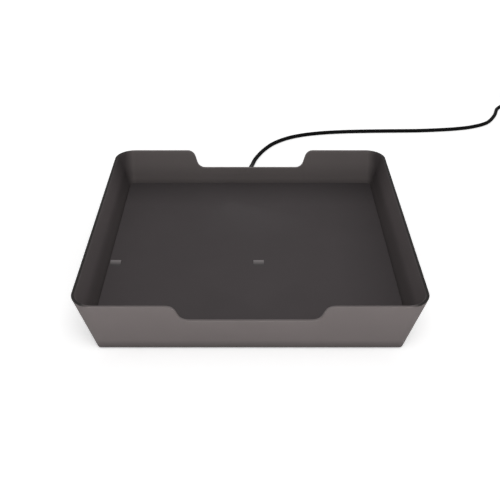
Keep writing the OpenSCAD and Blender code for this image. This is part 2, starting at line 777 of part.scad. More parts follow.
module coil_carrier() {
    wall_h = ferrite_z + ferrite_t - carrier_z;
    color("#d8d6d0")
        difference() {
            union() {
                translate([spot_x - carrier_w / 2, spot_y - carrier_w / 2, carrier_z])
                    cube([carrier_w, carrier_w, wall_h]);
                at_ears()
                    translate([-ear_w / 2, -ear_w / 2, carrier_z])
                        cube([ear_w, ear_w, carrier_t]);
            }
            translate([spot_x - carrier_in_w / 2, spot_y - carrier_in_w / 2, carrier_z + carrier_t])
                cube([carrier_in_w, carrier_in_w, wall_h]);
            translate([spot_x + coil_in_r - lead_slot_w / 2, spot_y, carrier_z + carrier_t])
                cube([lead_slot_w, carrier_w, wall_h]);
            at_ears()
                translate([0, 0, carrier_z - over])
                    cylinder(h = carrier_t + 2 * over, d = small_screw_d + 2 * pass_gap);
        }
}

module carrier_screws() {
    color("#8b8d90")
        at_ears()
            translate([0, 0, carrier_z]) screw(small_screw_d, carrier_screw_l, small_head_d, small_head_h);
}

module heat_spreader() {
    color("#b9bcc0")
        translate([spot_x - ferrite_w / 2, spot_y - ferrite_w / 2, spreader_z])
            cube([ferrite_w, ferrite_w, spreader_t]);
}

module ferrite_sheet() {
    color("#2f2f33") slotted_sheet(ferrite_z, ferrite_t);
}

module transmit_coil() {
    color("#b87333") translate([spot_x, spot_y, 0]) tube(coil_line, wire_d / 2, wound_sides);
}

module circuit_board() {
    color("#1f5c3a")
        difference() {
            translate([board_x - board_w / 2, board_back_y - board_d, board_z])
                cube([board_w, board_d, board_t]);
            at_board_holes()
                translate([0, 0, board_z - over])
                    cylinder(h = board_t + 2 * over, d = small_screw_d + 2 * pass_gap);
        }
}

module board_screws() {
    color("#8b8d90")
        at_board_holes()
            translate([0, 0, board_z]) screw(small_screw_d, board_screw_l, small_head_d, small_head_h);
}

// A flat package that hangs below the board, with a dimple at its first leg
module chip(w, h) {
    dimple_d = w * dimple_share;
    difference() {
        translate([-w / 2, -w / 2, -h]) cube([w, w, h]);
        translate([-w / 2 + dimple_d * 1.5, w / 2 - dimple_d * 1.5, -h - over])
            cylinder(h = dimple_d / 2 + over, d = dimple_d);
    }
}

// A block with rounded corners that hangs below the board
module block_case(w, d, h) {
    translate([0, 0, -h]) rounded_plate(w, d, h, w * case_corner_share);
}

module controller_chip() {
    color("#1c1c1e") on_board(chip_x, 0) chip(chip_w, chip_h);
}

module bridge_transistors() {
    pitch = bridge_w + bridge_gap;
    color("#1c1c1e")
        on_board(bridge_x, 0)
            for (x = [-1, 1], y = [-1, 1])
                translate([x * pitch / 2, y * pitch / 2, 0]) chip(bridge_w, bridge_h);
}

module resonant_capacitors() {
    color("#b9a98a")
        on_board(resonant_x, 0)
            for (x = [-1, 1], y = [-1, 1])
                translate([x * (resonant_w + resonant_gap) / 2, y * (resonant_d + resonant_gap) / 2, 0])
                    block_case(resonant_w, resonant_d, resonant_h);
}

module power_inductor() {
    foot_h = inductor_h * inductor_foot_shares.z;
    color("#4a4a4e")
        on_board(inductor_x, 0) {
            translate([0, 0, -foot_h]) block_case(inductor_w, inductor_w, inductor_h - foot_h);
            block_case(inductor_w * inductor_foot_shares.x, inductor_w * inductor_foot_shares.y, foot_h);
        }
}

module input_capacitors() {
    color("#c9a24a")
        on_board(inductor_x, input_y)
            for (x = [-1, 1])
                translate([x * (input_w + input_gap) / 2, 0, 0]) block_case(input_w, input_d, input_h);
}

module usb_c_socket() {
    back_t = 2 * sheet_t;
    color("#c8cacd")
        difference() {
            translate([0, inlet_y - socket_l, inlet_z]) oval_bar(socket_w, socket_h, socket_l);
            translate([0, inlet_y - socket_l + back_t, inlet_z])
                oval_bar(socket_w - 2 * sheet_t, socket_h - 2 * sheet_t, socket_l);
        }
}

module usb_c_tongue() {
    back_t = 2 * sheet_t;
    tongue_l = socket_l - back_t - tongue_setback;
    color("#222222")
        translate([-tongue_w / 2, inlet_y - socket_l + back_t, inlet_z - tongue_t / 2])
            cube([tongue_w, tongue_l, tongue_t]);
}

module usb_c_tip() {
    root_t = 2 * sheet_t;
    hollow_w = tongue_w + 2 * sheet_t;
    hollow_h = tongue_t + 2 * sheet_t;
    color("#c8cacd")
        difference() {
            translate([0, c_grip_y - tip_l, inlet_z]) oval_bar(tip_w, tip_h, tip_l);
            translate([0, c_grip_y - tip_l - over, inlet_z])
                oval_bar(hollow_w, hollow_h, tip_l - root_t + over);
        }
}

// A tapered strain relief along +Y with grooves round it
module strain_relief() {
    groove_w = relief_l * relief_ring_share;
    pitch_share = 1 / (relief_rings + 1);
    difference() {
        rotate([-90, 0, 0]) cylinder(h = relief_l, d1 = relief_d, d2 = relief_end_d);
        for (i = [1 : relief_rings])
            translate([0, i * relief_l * pitch_share - groove_w / 2, 0])
                rotate([-90, 0, 0])
                    difference() {
                        cylinder(h = groove_w, d = relief_d + over);
                        cylinder(h = groove_w, d = relief_d - 2 * relief_ring_depth
                            - (relief_d - relief_end_d) * i * pitch_share);
                    }
    }
}

module usb_c_plug() {
    color("#1b1b1c")
        translate([0, c_grip_y, inlet_z]) {
            rounded_bar(c_grip_w, c_grip_h, c_grip_l, c_grip_r);
            translate([0, c_grip_l, 0]) strain_relief();
        }
}

module cord() {
    color("#141414") tube(cord_line, cord_d / 2, cord_sides);
}

module cord_coil() {
    color("#141414") tube(wound_route, cord_d / 2, wound_sides);
}

module cord_tail() {
    color("#141414") tube(tail_line, cord_d / 2, cord_sides);
}

// A strap round the bundle at the front of the wound coil, snug above and below
module cord_tie() {
    bundle_w = wound_pitch * layer_span + cord_d;
    bundle_h = wound_pitch * (layer_count - 1) + 2 * wound_flat;
    squeeze = wound_z - wound_flat - tie_t;
    middle_y = wound_y - (wound_in_r + wound_out_r) / 2;
    middle_z = wound_z - wound_flat + bundle_h / 2;
    outer_w = bundle_w + 2 * tie_t;
    outer_h = bundle_h + 2 * squeeze + 2 * tie_t;
    color("#2a2a2b")
        translate([wound_x + tie_w / 2, middle_y, middle_z])
            rotate([0, 0, 90])
                difference() {
                    rounded_bar(outer_w, outer_h, tie_w, cord_d / 2);
                    translate([0, -over, 0])
                        rounded_bar(bundle_w, bundle_h + 2 * squeeze, tie_w + 2 * over, cord_d / 2 - tie_t);
                }
}

module usb_a_plug() {
    color("#1b1b1c")
        translate([wound_end.x, a_grip_y, a_axis_z]) {
            mirror([0, 1, 0]) rounded_bar(a_grip_w, a_grip_h, a_grip_l, a_grip_r);
            strain_relief();
        }
}

module usb_a_shell() {
    corner = 2 * sheet_t;
    color("#c8cacd")
        translate([wound_end.x, a_grip_y - a_grip_l - a_shell_l, a_axis_z])
            difference() {
                rounded_bar(a_shell_w, a_shell_h, a_shell_l, corner);
                translate([0, -over, 0])
                    rounded_bar(a_shell_w - 2 * sheet_t, a_shell_h - 2 * sheet_t,
                        a_shell_l - sheet_t + over, corner - sheet_t);
            }
}

module usb_a_insert() {
    insert_w = a_shell_w - 2 * sheet_t - slack;
    insert_z = a_axis_z - a_shell_h / 2 + sheet_t;
    color("#e8e6e0")
        translate([wound_end.x - insert_w / 2, a_grip_y - a_grip_l - a_shell_l + slack, insert_z])
            cube([insert_w, a_shell_l - sheet_t - slack, a_insert_t]);
}

tray_shell();
tray_mat();
base_cover();
cover_screws();
rubber_feet();
coil_carrier();
carrier_screws();
heat_spreader();
ferrite_sheet();
transmit_coil();
circuit_board();
board_screws();
controller_chip();
bridge_transistors();
resonant_capacitors();
power_inductor();
input_capacitors();
usb_c_socket();
usb_c_tongue();
usb_c_tip();
usb_c_plug();
cord();
cord_coil();
cord_tail();
cord_tie();
usb_a_plug();
usb_a_shell();
usb_a_insert();
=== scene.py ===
"""Wireless charging box: the looks of its tray, its inlet and its cable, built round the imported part.

Lengths are in metres, in the part's own frame: the origin is at the middle of the box, on the surface
that its feet stand on, +Y is the back and +Z is up.
"""

import logging
import math
from collections.abc import Callable, Iterable, Sequence
from dataclasses import dataclass
from enum import Enum

import bmesh
import bpy
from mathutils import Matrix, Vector


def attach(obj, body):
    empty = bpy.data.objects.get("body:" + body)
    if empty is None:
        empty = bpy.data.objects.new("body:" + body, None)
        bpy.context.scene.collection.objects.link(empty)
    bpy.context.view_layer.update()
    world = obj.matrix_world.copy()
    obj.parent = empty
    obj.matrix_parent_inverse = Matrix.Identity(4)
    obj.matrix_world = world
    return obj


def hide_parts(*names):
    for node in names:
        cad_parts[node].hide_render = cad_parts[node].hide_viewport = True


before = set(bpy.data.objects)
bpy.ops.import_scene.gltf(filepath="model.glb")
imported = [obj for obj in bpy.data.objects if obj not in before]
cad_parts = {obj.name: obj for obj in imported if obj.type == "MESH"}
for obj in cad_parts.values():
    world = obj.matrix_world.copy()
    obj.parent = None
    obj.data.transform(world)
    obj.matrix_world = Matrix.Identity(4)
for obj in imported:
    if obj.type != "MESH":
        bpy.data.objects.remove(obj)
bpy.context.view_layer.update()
log = logging.getLogger("charging_box")

Point = Sequence[float]
Place = tuple[float, float, float]
Pair = tuple[float, float]
Colour = tuple[float, float, float]
Piece = bpy.types.Object
Socket = bpy.types.NodeSocket
Test = Callable[[list[Vector]], bool]

X, Y, Z = range(3)
TOUCH = 1e-6
DOWN = (0.0, 0.0, -1.0)
BACKWARDS = (0.0, 1.0, 0.0)
BLACK = (0.0, 0.0, 0.0)
WHITE = (1.0, 1.0, 1.0, 1.0)


def flat(axis: int, place: float) -> Test:
    """A test for what lies in the plane at a place on an axis."""
    return lambda corners: all(abs(corner[axis] - place) < TOUCH for corner in corners)


def runs(axis: int, length: float = 10 * TOUCH) -> Test:
    """A test for edges that run further than a length along an axis."""
    return lambda ends: abs(ends[0][axis] - ends[1][axis]) > length


def both(first: Test, second: Test) -> Test:
    """A test for what passes two tests."""
    return lambda corners: first(corners) and second(corners)


class Pick(Enum):
    """What a selection is made of."""

    VERTICES = "VERT"
    EDGES = "EDGE"
    FACES = "FACE"


class Bench:
    """The modelling steps that every piece shares. Each works on the piece in hand."""

    @staticmethod
    def clear() -> None:
        """Leave edit mode and deselect everything."""
        held = bpy.context.view_layer.objects.active
        if held is not None and held.mode != "OBJECT":
            bpy.ops.object.mode_set(mode="OBJECT")
        bpy.ops.object.select_all(action="DESELECT")

    @staticmethod
    def hold(piece: Piece) -> None:
        """Take one piece in hand, in object mode.

        Args:
            piece: The object that the next steps work on.
        """
        Bench.clear()
        piece.select_set(True)
        bpy.context.view_layer.objects.active = piece

    @staticmethod
    def start(name: str) -> Piece:
        """Name the primitive that was just added and put its place into its mesh.

        Args:
            name: The piece's name.

        Returns:
            The new object, at the origin.
        """
        piece = bpy.context.object
        piece.name = piece.data.name = name
        bpy.ops.object.transform_apply(location=True, rotation=True, scale=True)
        return piece

    @staticmethod
    def block(name: str, low: Point, high: Point) -> Piece:
        """Add a block between two corners.

        Args:
            name: The piece's name.
            low: Its lowest corner.
            high: Its highest corner.

        Returns:
            The new object.
        """
        Bench.clear()
        bpy.ops.mesh.primitive_cube_add(size=1, location=[(a + b) / 2 for a, b in zip(low, high)])
        bpy.context.object.scale = [b - a for a, b in zip(low, high)]
        return Bench.start(name)

    @staticmethod
    def edit(mode: Pick = Pick.VERTICES, everything: bool = False) -> None:
        """Enter edit mode on the piece in hand.

        Args:
            mode: What the selection is made of.
            everything: Whether all of it starts selected.
        """
        bpy.ops.object.mode_set(mode="EDIT")
        bpy.ops.mesh.select_mode(type=mode.value)
        bpy.ops.mesh.select_all(action="SELECT" if everything else "DESELECT")

    @staticmethod
    def pick(mode: Pick, test: Test) -> None:
        """Select the vertices, edges or faces that pass a test, and nothing else.

        Args:
            mode: What to select.
            test: Takes the corners of one element and says whether it is wanted.
        """
        bpy.ops.mesh.select_mode(type=mode.value)
        bpy.ops.mesh.select_all(action="DESELECT")
        mesh = bmesh.from_edit_mesh(bpy.context.object.data)
        if mode is Pick.VERTICES:
            wanted = [vertex for vertex in mesh.verts if test([vertex.co])]
        else:
            elements = mesh.edges if mode is Pick.EDGES else mesh.faces
            wanted = [element for element in elements if test([vertex.co for vertex in element.verts])]
        for element in wanted:
            element.select_set(True)
        mesh.select_flush_mode()
        bmesh.update_edit_mesh(bpy.context.object.data)

    @staticmethod
    def choose(indices: Iterable[int]) -> None:
        """Select vertices by their indices, and nothing else.

        Args:
            indices: Their indices in the mesh in hand.
        """
        bpy.ops.mesh.select_all(action="DESELECT")
        mesh = bmesh.from_edit_mesh(bpy.context.object.data)
        mesh.verts.ensure_lookup_table()
        for index in indices:
            mesh.verts[index].select_set(True)
        mesh.select_flush_mode()
        bmesh.update_edit_mesh(bpy.context.object.data)

    @staticmethod
    def move(offset: Point) -> None:
        """Move the selection by an offset."""
        bpy.ops.transform.translate(value=offset)

    @staticmethod
    def grow(factors: Point, about: Point) -> None:
        """Scale the selection about a point."""
        bpy.ops.transform.resize(value=factors, center_override=about)

    @staticmethod
    def extrude(offset: Point) -> None:
        """Extrude the selection by an offset."""
        bpy.ops.mesh.extrude_region_move(TRANSFORM_OT_translate={"value": offset})

    @staticmethod
    def bevel(offset: float, segments: int, vertices: bool = False) -> None:
        """Round the selected edges or vertices.

        Args:
            offset: Size of the rounding.
            segments: Its number of steps.
            vertices: Round the selected vertices of a flat outline instead of edges.
        """
        bpy.ops.mesh.bevel(offset=offset, offset_type="OFFSET", segments=segments, profile=0.5,
                           affect="VERTICES" if vertices else "EDGES", clamp_overlap=False)

    @staticmethod
    def round_edges(*roundings: tuple[Test, float, int]) -> None:
        """Round edges of the piece in hand, one group after the other.

        Args:
            *roundings: For each group its test, its radius and its number of steps.
        """
        Bench.edit()
        for test, radius, steps in roundings:
            Bench.pick(Pick.EDGES, test)
            Bench.bevel(radius, steps)
        Bench.clear()

    @staticmethod
    def bisect(axis: int, *places: float) -> None:
        """Cut the whole piece in hand with planes across one axis, and keep both sides.

        Args:
            axis: The axis.
            *places: Where on it the planes lie.
        """
        normal = [1.0 if i == axis else 0.0 for i in range(3)]
        for place in places:
            bpy.ops.mesh.select_all(action="SELECT")
            bpy.ops.mesh.bisect(plane_co=[place * part for part in normal], plane_no=normal)

    @staticmethod
    def face_out() -> None:
        """Turn every face of the piece in hand outwards."""
        bpy.ops.mesh.select_all(action="SELECT")
        bpy.ops.mesh.normals_make_consistent(inside=False)

    @staticmethod
    def modifier(piece: Piece, kind: str, **settings: object) -> None:
        """Add a modifier to a piece and apply it.

        Args:
            piece: The object.
            kind: The modifier's type.
            **settings: Its settings, by name.
        """
        Bench.hold(piece)
        added = piece.modifiers.new(kind.title(), kind)
        for name, value in settings.items():
            setattr(added, name, value)
        bpy.ops.object.modifier_apply(modifier=added.name)

    @staticmethod
    def sleeve(name: str, low: Point, high: Point, axis: int, opening: Test,
               rounding: tuple[float, int]) -> Piece:
        """Start a folded sleeve along one axis, without thickness and still in edit mode.

        Args:
            name: The piece's name.
            low: Its lowest corner.
            high: Its highest corner.
            axis: The axis that it runs along.
            opening: The test for the faces that are left open.
            rounding: Radius of its long edges and its number of steps.

        Returns:
            The new object.
        """
        piece = Bench.block(name, low, high)
        Bench.edit()
        Bench.pick(Pick.FACES, opening)
        bpy.ops.mesh.delete(type="FACE")
        Bench.pick(Pick.EDGES, runs(axis, (high[axis] - low[axis]) / 2))
        Bench.bevel(*rounding)
        return piece

    @staticmethod
    def thicken(piece: Piece, sheet: float, edge: float, degrees: float = 50.0) -> None:
        """Give a sleeve its thickness, inwards, and soften its edges.

        Args:
            piece: The sleeve, in edit mode.
            sheet: The thickness.
            edge: Width of the softened edges.
            degrees: An edge whose faces meet at a smaller angle isn't softened.
        """
        Bench.face_out()
        Bench.modifier(piece, "SOLIDIFY", thickness=sheet, offset=-1.0, use_even_offset=True)
        Bench.modifier(piece, "BEVEL", width=edge, segments=2, limit_method="ANGLE",
                       angle_limit=math.radians(degrees), use_clamp_overlap=True)

    @staticmethod
    def carve(piece: Piece, cutter: Piece) -> None:
        """Cut one piece with another, and remove the cutter."""
        Bench.modifier(piece, "BOOLEAN", operation="DIFFERENCE", solver="EXACT", object=cutter)
        bpy.data.objects.remove(cutter)

    @staticmethod
    def copies(piece: Piece, places: Iterable[Point]) -> list[Piece]:
        """Copy a piece to other places, each copy with its own mesh.

        Args:
            piece: The object to copy, which stays where it is.
            places: How far each copy is moved.

        Returns:
            The object and its copies.
        """
        made = [piece]
        for place in places:
            Bench.hold(piece)
            bpy.ops.object.duplicate(linked=False)
            bpy.context.object.location = place
            bpy.ops.object.transform_apply(location=True, rotation=False, scale=False)
            made.append(bpy.context.object)
        return made

    @staticmethod
    def four(piece: Piece, aside: float, back: float) -> list[Piece]:
        """Copy a piece to the other corners of a rectangle, and return all four."""
        return Bench.copies(piece, [(aside, 0.0, 0.0), (0.0, back, 0.0), (aside, back, 0.0)])

    @staticmethod
    def join(pieces: Sequence[Piece], name: str) -> Piece:
        """Join pieces into one object.

        Args:
            pieces: The objects, the first of which takes the others in.
            name: The result's name.

        Returns:
            The joined object.
        """
        Bench.clear()
        for piece in pieces:
            piece.select_set(True)
        whole = bpy.context.view_layer.objects.active = pieces[0]
        bpy.ops.object.join()
        whole.name = whole.data.name = name
        return whole

    @staticmethod
    def smooth(piece: Piece, degrees: float = 32.0) -> None:
        """Shade a piece smoothly, except where its faces meet at more than an angle."""
        Bench.hold(piece)
        bpy.ops.object.shade_smooth_by_angle(angle=math.radians(degrees))

    @staticmethod
    def turned(name: str, start: Point, axis: Point, profile: Sequence[Pair], sides: int = 40) -> Piece:
        """Make a round piece by extruding a disc step by step along the Y or Z axis.

        Args:
            name: The piece's name.
            start: Middle of its first face.
            axis: Direction of its axis: plus or minus Y or Z, as a unit vector.
            profile: For each step its distance from the start and its radius.
            sides: Number of sides.

        Returns:
            The new object.
        """
        Bench.clear()
        reach, radius = profile[0]
        bpy.ops.mesh.primitive_circle_add(vertices=sides, radius=radius, fill_type="NGON", location=start,
                                          rotation=(0.0 if axis[Z] else math.radians(90), 0.0, 0.0))
        piece = Bench.start(name)
        Bench.edit(Pick.FACES, everything=True)
        for distance, wanted in profile[1:]:
            Bench.extrude([(distance - reach) * a for a in axis])
            middle = [s + distance * a for s, a in zip(start, axis)]
            Bench.grow([1.0 if a else wanted / radius for a in axis], middle)
            reach, radius = distance, wanted
        Bench.face_out()
        Bench.clear()
        return piece


class Graph:
    """A material's nodes, added and wired in a line or two."""

    def __init__(self, name: str) -> None:
        """Start a material with an empty shader.

        Args:
            name: The material's name.
        """
        self.material = bpy.data.materials.new(name)
        self.material.use_nodes = True
        self.tree = self.material.node_tree
        self.shader = self.tree.nodes["Principled BSDF"]

    def add(self, kind: str, **inputs: object) -> bpy.types.Node:
        """Add a node and set or wire its inputs, by name with underscores for spaces."""
        return self.wire(self.tree.nodes.new(kind), **inputs)

    def wire(self, node: bpy.types.Node, **inputs: object) -> bpy.types.Node:
        """Set or wire a node's inputs.

        Args:
            node: The node.
            **inputs: Values or sockets, by the input's name with underscores for spaces.

        Returns:
            The same node.
        """
        for name, value in inputs.items():
            self.feed(node.inputs[name.replace("_", " ")], value)
        return node

    def feed(self, socket: Socket, value: object) -> None:
        """Wire a socket to an input, or set the input's own value.

        Args:
            socket: The input.
            value: The socket to wire to it, or its value.
        """
        if isinstance(value, Socket):
            self.tree.links.new(value, socket)
        else:
            socket.default_value = value

    def place(self) -> Socket:
        """Object coordinates."""
        return self.add("ShaderNodeTexCoord").outputs["Object"]

    def span(self, value: Socket, low: float, high: float, lowest: float = 0.3,
             highest: float = 0.7) -> Socket:
        """Bring a value from the span between its lowest and its highest into one from low to high."""
        return self.add("ShaderNodeMapRange", Value=value, From_Min=lowest, From_Max=highest,
                        To_Min=low, To_Max=high).outputs["Result"]

    def axis(self, where: Socket, name: str) -> Socket:
        """One axis, X, Y or Z, of a place."""
        return self.add("ShaderNodeSeparateXYZ", Vector=where).outputs[name]

    def math(self, operation: str, *values: float | Socket) -> Socket:
        """One sum on one or two values or sockets, kept between 0 and 1 where it adds.

        Args:
            operation: The node's operation.
            *values: What it works on.

        Returns:
            The result's socket.
        """
        node = self.add("ShaderNodeMath")
        node.operation = operation
        node.use_clamp = operation == "ADD"
        for socket, value in zip(node.inputs, values):
            self.feed(socket, value)
        return node.outputs[0]

    def blend(self, share: Socket, first: Colour | Socket, second: Colour | Socket) -> Socket:
        """Mix two colours or coloured sockets.

        Args:
            share: How much of the second is in it, from 0 to 1.
            first: The colour at 0.
            second: The colour at 1.

        Returns:
            The mixed colour's socket.
        """
        node = self.add("ShaderNodeMix")
        node.data_type = "RGBA"
        self.feed(node.inputs[0], share)
        sockets = [socket for socket in node.inputs if socket.type == "RGBA"]
        for socket, colour in zip(sockets, (first, second)):
            self.feed(socket, (*colour, 1.0) if isinstance(colour, tuple) else colour)
        return [socket for socket in node.outputs if socket.type == "RGBA"][0]

    def relief(self, height: Socket, depth: float) -> None:
        """Let a height from 0 to 1 raise the surface by a depth in metres."""
        bump = self.add("ShaderNodeBump", Strength=1.0, Distance=depth, Height=height)
        self.wire(self.shader, Normal=bump.outputs["Normal"])


@dataclass(frozen=True)
class Noise:
    """A noise over the object.

    Attributes:
        scale: Cells a metre.
        detail: Number of finer noises in it.
        rough: How strong these are.
        stretch: What each axis is multiplied by before, if anything; a low one draws the noise out that way.
        ends: The values that nearly all of it lies between.
    """

    scale: float
    detail: float = 2.0
    rough: float = 0.5
    stretch: Place | None = None
    ends: Pair = (0.3, 0.7)

    def wire(self, graph: Graph, where: Socket) -> Socket:
        """Add it to a graph.

        Args:
            graph: The material's graph.
            where: The place that it is read at.

        Returns:
            Its socket.
        """
        if self.stretch:
            where = graph.add("ShaderNodeMapping", Vector=where, Scale=self.stretch).outputs["Vector"]
        return graph.add("ShaderNodeTexNoise", Vector=where, Scale=self.scale, Detail=self.detail,
                         Roughness=self.rough).outputs["Fac"]


@dataclass(frozen=True)
class Bands:
    """Slanting bands over the object.

    Attributes:
        scale: Their number, as the wave texture counts them.
        distortion: How uneven they are.
        ends: The values that they lie between.
    """

    scale: float
    distortion: float
    ends: Pair = (0.0, 1.0)

    def wire(self, graph: Graph, where: Socket) -> Socket:
        """Add them to a graph.

        Args:
            graph: The material's graph.
            where: The place that they are read at.

        Returns:
            Their socket.
        """
        node = graph.add("ShaderNodeTexWave", Vector=where, Scale=self.scale, Distortion=self.distortion)
        node.wave_type = "BANDS"
        node.bands_direction = "DIAGONAL"
        return node.outputs["Fac"]


@dataclass(frozen=True)
class PaintedShade:
    """A darker end of a finish, which passes into the full colour along one axis: painted shade, and on the
    nubs the falling off of their painted highlight.

    Attributes:
        axis: The axis that it runs along.
        dark: Where the dark end lies, in metres.
        full: Where the full colour begins.
        factor: The dark end's share of the full colour.
    """

    axis: str
    dark: float
    full: float
    factor: float


@dataclass(frozen=True)
class Finish:
    """A procedural finish, whose colour drifts with one pattern and whose surface has another.

    Attributes:
        name: The material's name.
        colour: Its colour, in linear light.
        cloud: The pattern that the colour drifts with.
        drift: The darkest and the lightest shade, as shares of the colour.
        grain: The surface's pattern.
        depth: Depth of that.
        roughness: Middle of the roughness.
        spread: How far the roughness goes below and above that; none leaves it even.
        gloss: The specular level.
        metal: How metallic it is.
        sheen: Weight of its sheen.
    """

    name: str
    colour: Colour
    cloud: Noise | Bands = Noise(28.0, 4.0)
    drift: Pair = (0.97, 1.03)
    grain: Noise | Bands = Noise(2600.0, 3.0, 0.6)
    depth: float = 0.00003
    roughness: float = 0.55
    spread: Pair = (0.05, 0.05)
    gloss: float = 0.5
    metal: float = 0.0
    sheen: float = 0.0

    def tone(self, graph: Graph, where: Socket, colour: Colour) -> Socket:
        """Add a colour that drifts.

        Args:
            graph: The material's graph.
            where: The place that it is read at.
            colour: Its middle.

        Returns:
            The colour's socket.
        """
        dark, light = (tuple(min(part * factor, 1.0) for part in colour) for factor in self.drift)
        return graph.blend(graph.span(self.cloud.wire(graph, where), 0.0, 1.0, *self.cloud.ends), dark, light)

    def paint(self, graph: Graph, where: Socket) -> Socket:
        """Add the whole colour, and return its socket."""
        return self.tone(graph, where, self.colour)

    def wear(self, graph: Graph, where: Socket, grain: Socket) -> Socket:
        """The pattern that the roughness goes with: here the surface's own."""
        return grain

    def build(self) -> bpy.types.Material:
        """Build the material.

        Returns:
            The new material.
        """
        graph = Graph(self.name)
        where = graph.place()
        grain = self.grain.wire(graph, where)
        below, above = self.spread
        rough = self.roughness
        if below or above:
            rough = graph.span(self.wear(graph, where, grain), rough - below, rough + above)
        graph.wire(graph.shader, Base_Color=self.paint(graph, where), Roughness=rough,
                   Specular_IOR_Level=self.gloss, Metallic=self.metal, Sheen_Weight=self.sheen)
        graph.relief(grain, self.depth)
        return graph.material


@dataclass(frozen=True)
class MouldedPlastic(Finish):
    """Injection-moulded plastic with a fine spark-eroded grain and slightly uneven colour."""

    gloss: float = 0.2


@dataclass(frozen=True)
class PaintedLightPlastic(Finish):
    """Moulded plastic with painted light and shade: its colour darkens along an axis where shade falls, and
    may turn into a darker copy at the tray's sides.

    Attributes:
        painted_shades: Its painted shade: darker ends along an axis, where shade falls.
        shaded_side_colour: Its colour on the left and on the right, if it differs there: a darker copy,
            painted shade.
        side_painted_shades: The painted shade on that.
        side_span: Distances from the middle, left to right, between which one turns into the other.
    """

    depth: float = 0.00004
    roughness: float = 0.65
    gloss: float = 0.12
    painted_shades: tuple[PaintedShade, ...] = ()
    shaded_side_colour: Colour | None = None
    side_painted_shades: tuple[PaintedShade, ...] = ()
    side_span: Pair = (0.0885, 0.0940)

    def with_painted_shade(self, graph: Graph, where: Socket, colour: Colour, painted_shades: Iterable[PaintedShade]) -> Socket:
        """Add a colour with its painted shade.

        Args:
            graph: The material's graph.
            where: The place that it is read at.
            colour: The colour.
            painted_shades: Its painted shade, darker ends along an axis.

        Returns:
            The colour's socket.
        """
        tone = self.tone(graph, where, colour)
        for painted_shade in painted_shades:
            share = graph.span(graph.axis(where, painted_shade.axis), painted_shade.factor, 1.0, painted_shade.dark, painted_shade.full)
            tone = graph.blend(share, BLACK, tone)
        return tone

    def paint(self, graph: Graph, where: Socket) -> Socket:
        """Add the whole colour, with its painted shade and its darker sides.

        Args:
            graph: The material's graph.
            where: The place that it is read at.

        Returns:
            The colour's socket.
        """
        tone = self.with_painted_shade(graph, where, self.colour, self.painted_shades)
        if self.shaded_side_colour is None:
            return tone
        # Towards the left and right the colour turns into its darker copy: painted shade on the tray's side
        # walls and rims.
        share = graph.span(graph.math("ABSOLUTE", graph.axis(where, "X")), 0.0, 1.0, *self.side_span)
        return graph.blend(share, tone, self.with_painted_shade(graph, where, self.shaded_side_colour, self.side_painted_shades))


@dataclass(frozen=True)
class SoftRubber(Finish):
    """Soft rubber with a dusty, softly mottled surface."""

    cloud: Noise = Noise(16.0, 5.0, 0.55)
    drift: Pair = (0.95, 1.05)
    grain: Noise = Noise(1800.0)
    depth: float = 0.00004
    roughness: float = 0.72
    spread: Pair = (0.06, 0.06)
    gloss: float = 0.15
    sheen: float = 0.05


@dataclass(frozen=True)
class PlatedMetal(Finish):
    """Rolled or plated metal with fine scratches along one axis."""

    cloud: Noise = Noise(320.0, 3.0)
    drift: Pair = (0.93, 1.05)
    grain: Noise = Noise(1.0, stretch=(9000.0, 500.0, 9000.0))
    depth: float = 0.000004
    spread: Pair = (0.08, 0.1)
    metal: float = 1.0


@dataclass(frozen=True)
class CordJacket(Finish):
    """The cord's black jacket: satin, with faint marks of the extruder round it."""

    cloud: Noise = Noise(90.0, 3.0)
    drift: Pair = (0.85, 1.2)
    grain: Noise = Noise(3200.0)
    depth: float = 0.000015
    roughness: float = 0.71
    gloss: float = 0.05

    def wear(self, graph: Graph, where: Socket, grain: Socket) -> Socket:
        """The pattern that the roughness goes with: here the slow one of the colour."""
        return self.cloud.wire(graph, where)


@dataclass(frozen=True)
class WovenStrap(Finish):
    """A narrow woven strap with a nap."""

    cloud: Bands = Bands(250.0, 1.6)
    drift: Pair = (0.7, 1.5)
    grain: Noise = Noise(4500.0, 3.0, 0.7)
    depth: float = 0.00012
    roughness: float = 0.9
    spread: Pair = (0.0, 0.0)
    sheen: float = 0.35


@dataclass(frozen=True)
class LitzCopper(Finish):
    """Enamelled copper strands twisted into one wire."""

    cloud: Bands = Bands(420.0, 0.6)
    drift: Pair = (0.55, 1.2)
    grain: Bands = Bands(420.0, 0.6)
    depth: float = 0.00006
    roughness: float = 0.34
    spread: Pair = (0.0, 0.0)
    metal: float = 0.85


@dataclass(frozen=True)
class FiredCeramic(Finish):
    """Fired ceramic or pressed powder, speckled, with a dull glaze."""

    cloud: Noise = Noise(2400.0, 4.0, 0.7)
    drift: Pair = (0.8, 1.2)
    grain: Noise = Noise(2400.0, 4.0, 0.7)
    depth: float = 0.00001
    spread: Pair = (0.06, 0.08)


@dataclass(frozen=True)
class SolderMask:
    """A circuit board's lacquer, with tracks showing faintly under it.

    Attributes:
        name: The material's name.
        colour: The lacquer's colour over bare laminate, in linear light.
        track: Its colour over copper.
        tracks: Tracks a metre.
        border: Where a track's edge begins and ends, as shares of the way to the next track.
        sheen: The lowest and the highest roughness.
        depth: Thickness of the copper.
    """

    name: str
    colour: Colour
    track: Colour
    tracks: float = 260.0
    border: Pair = (0.32, 0.36)
    sheen: Pair = (0.2, 0.34)
    depth: float = 0.00003

    def build(self) -> bpy.types.Material:
        """Build the material.

        Returns:
            The new material.
        """
        graph = Graph(self.name)
        where = graph.place()
        cells = graph.add("ShaderNodeTexVoronoi", Vector=where, Scale=self.tracks)
        cells.distance = "CHEBYCHEV"
        share = graph.span(cells.outputs["Distance"], 1.0, 0.0, *self.border)
        graph.wire(graph.shader, Base_Color=graph.blend(share, self.colour, self.track),
                   Roughness=graph.span(Noise(900.0).wire(graph, where), *self.sheen))
        graph.relief(share, self.depth)
        return graph.material


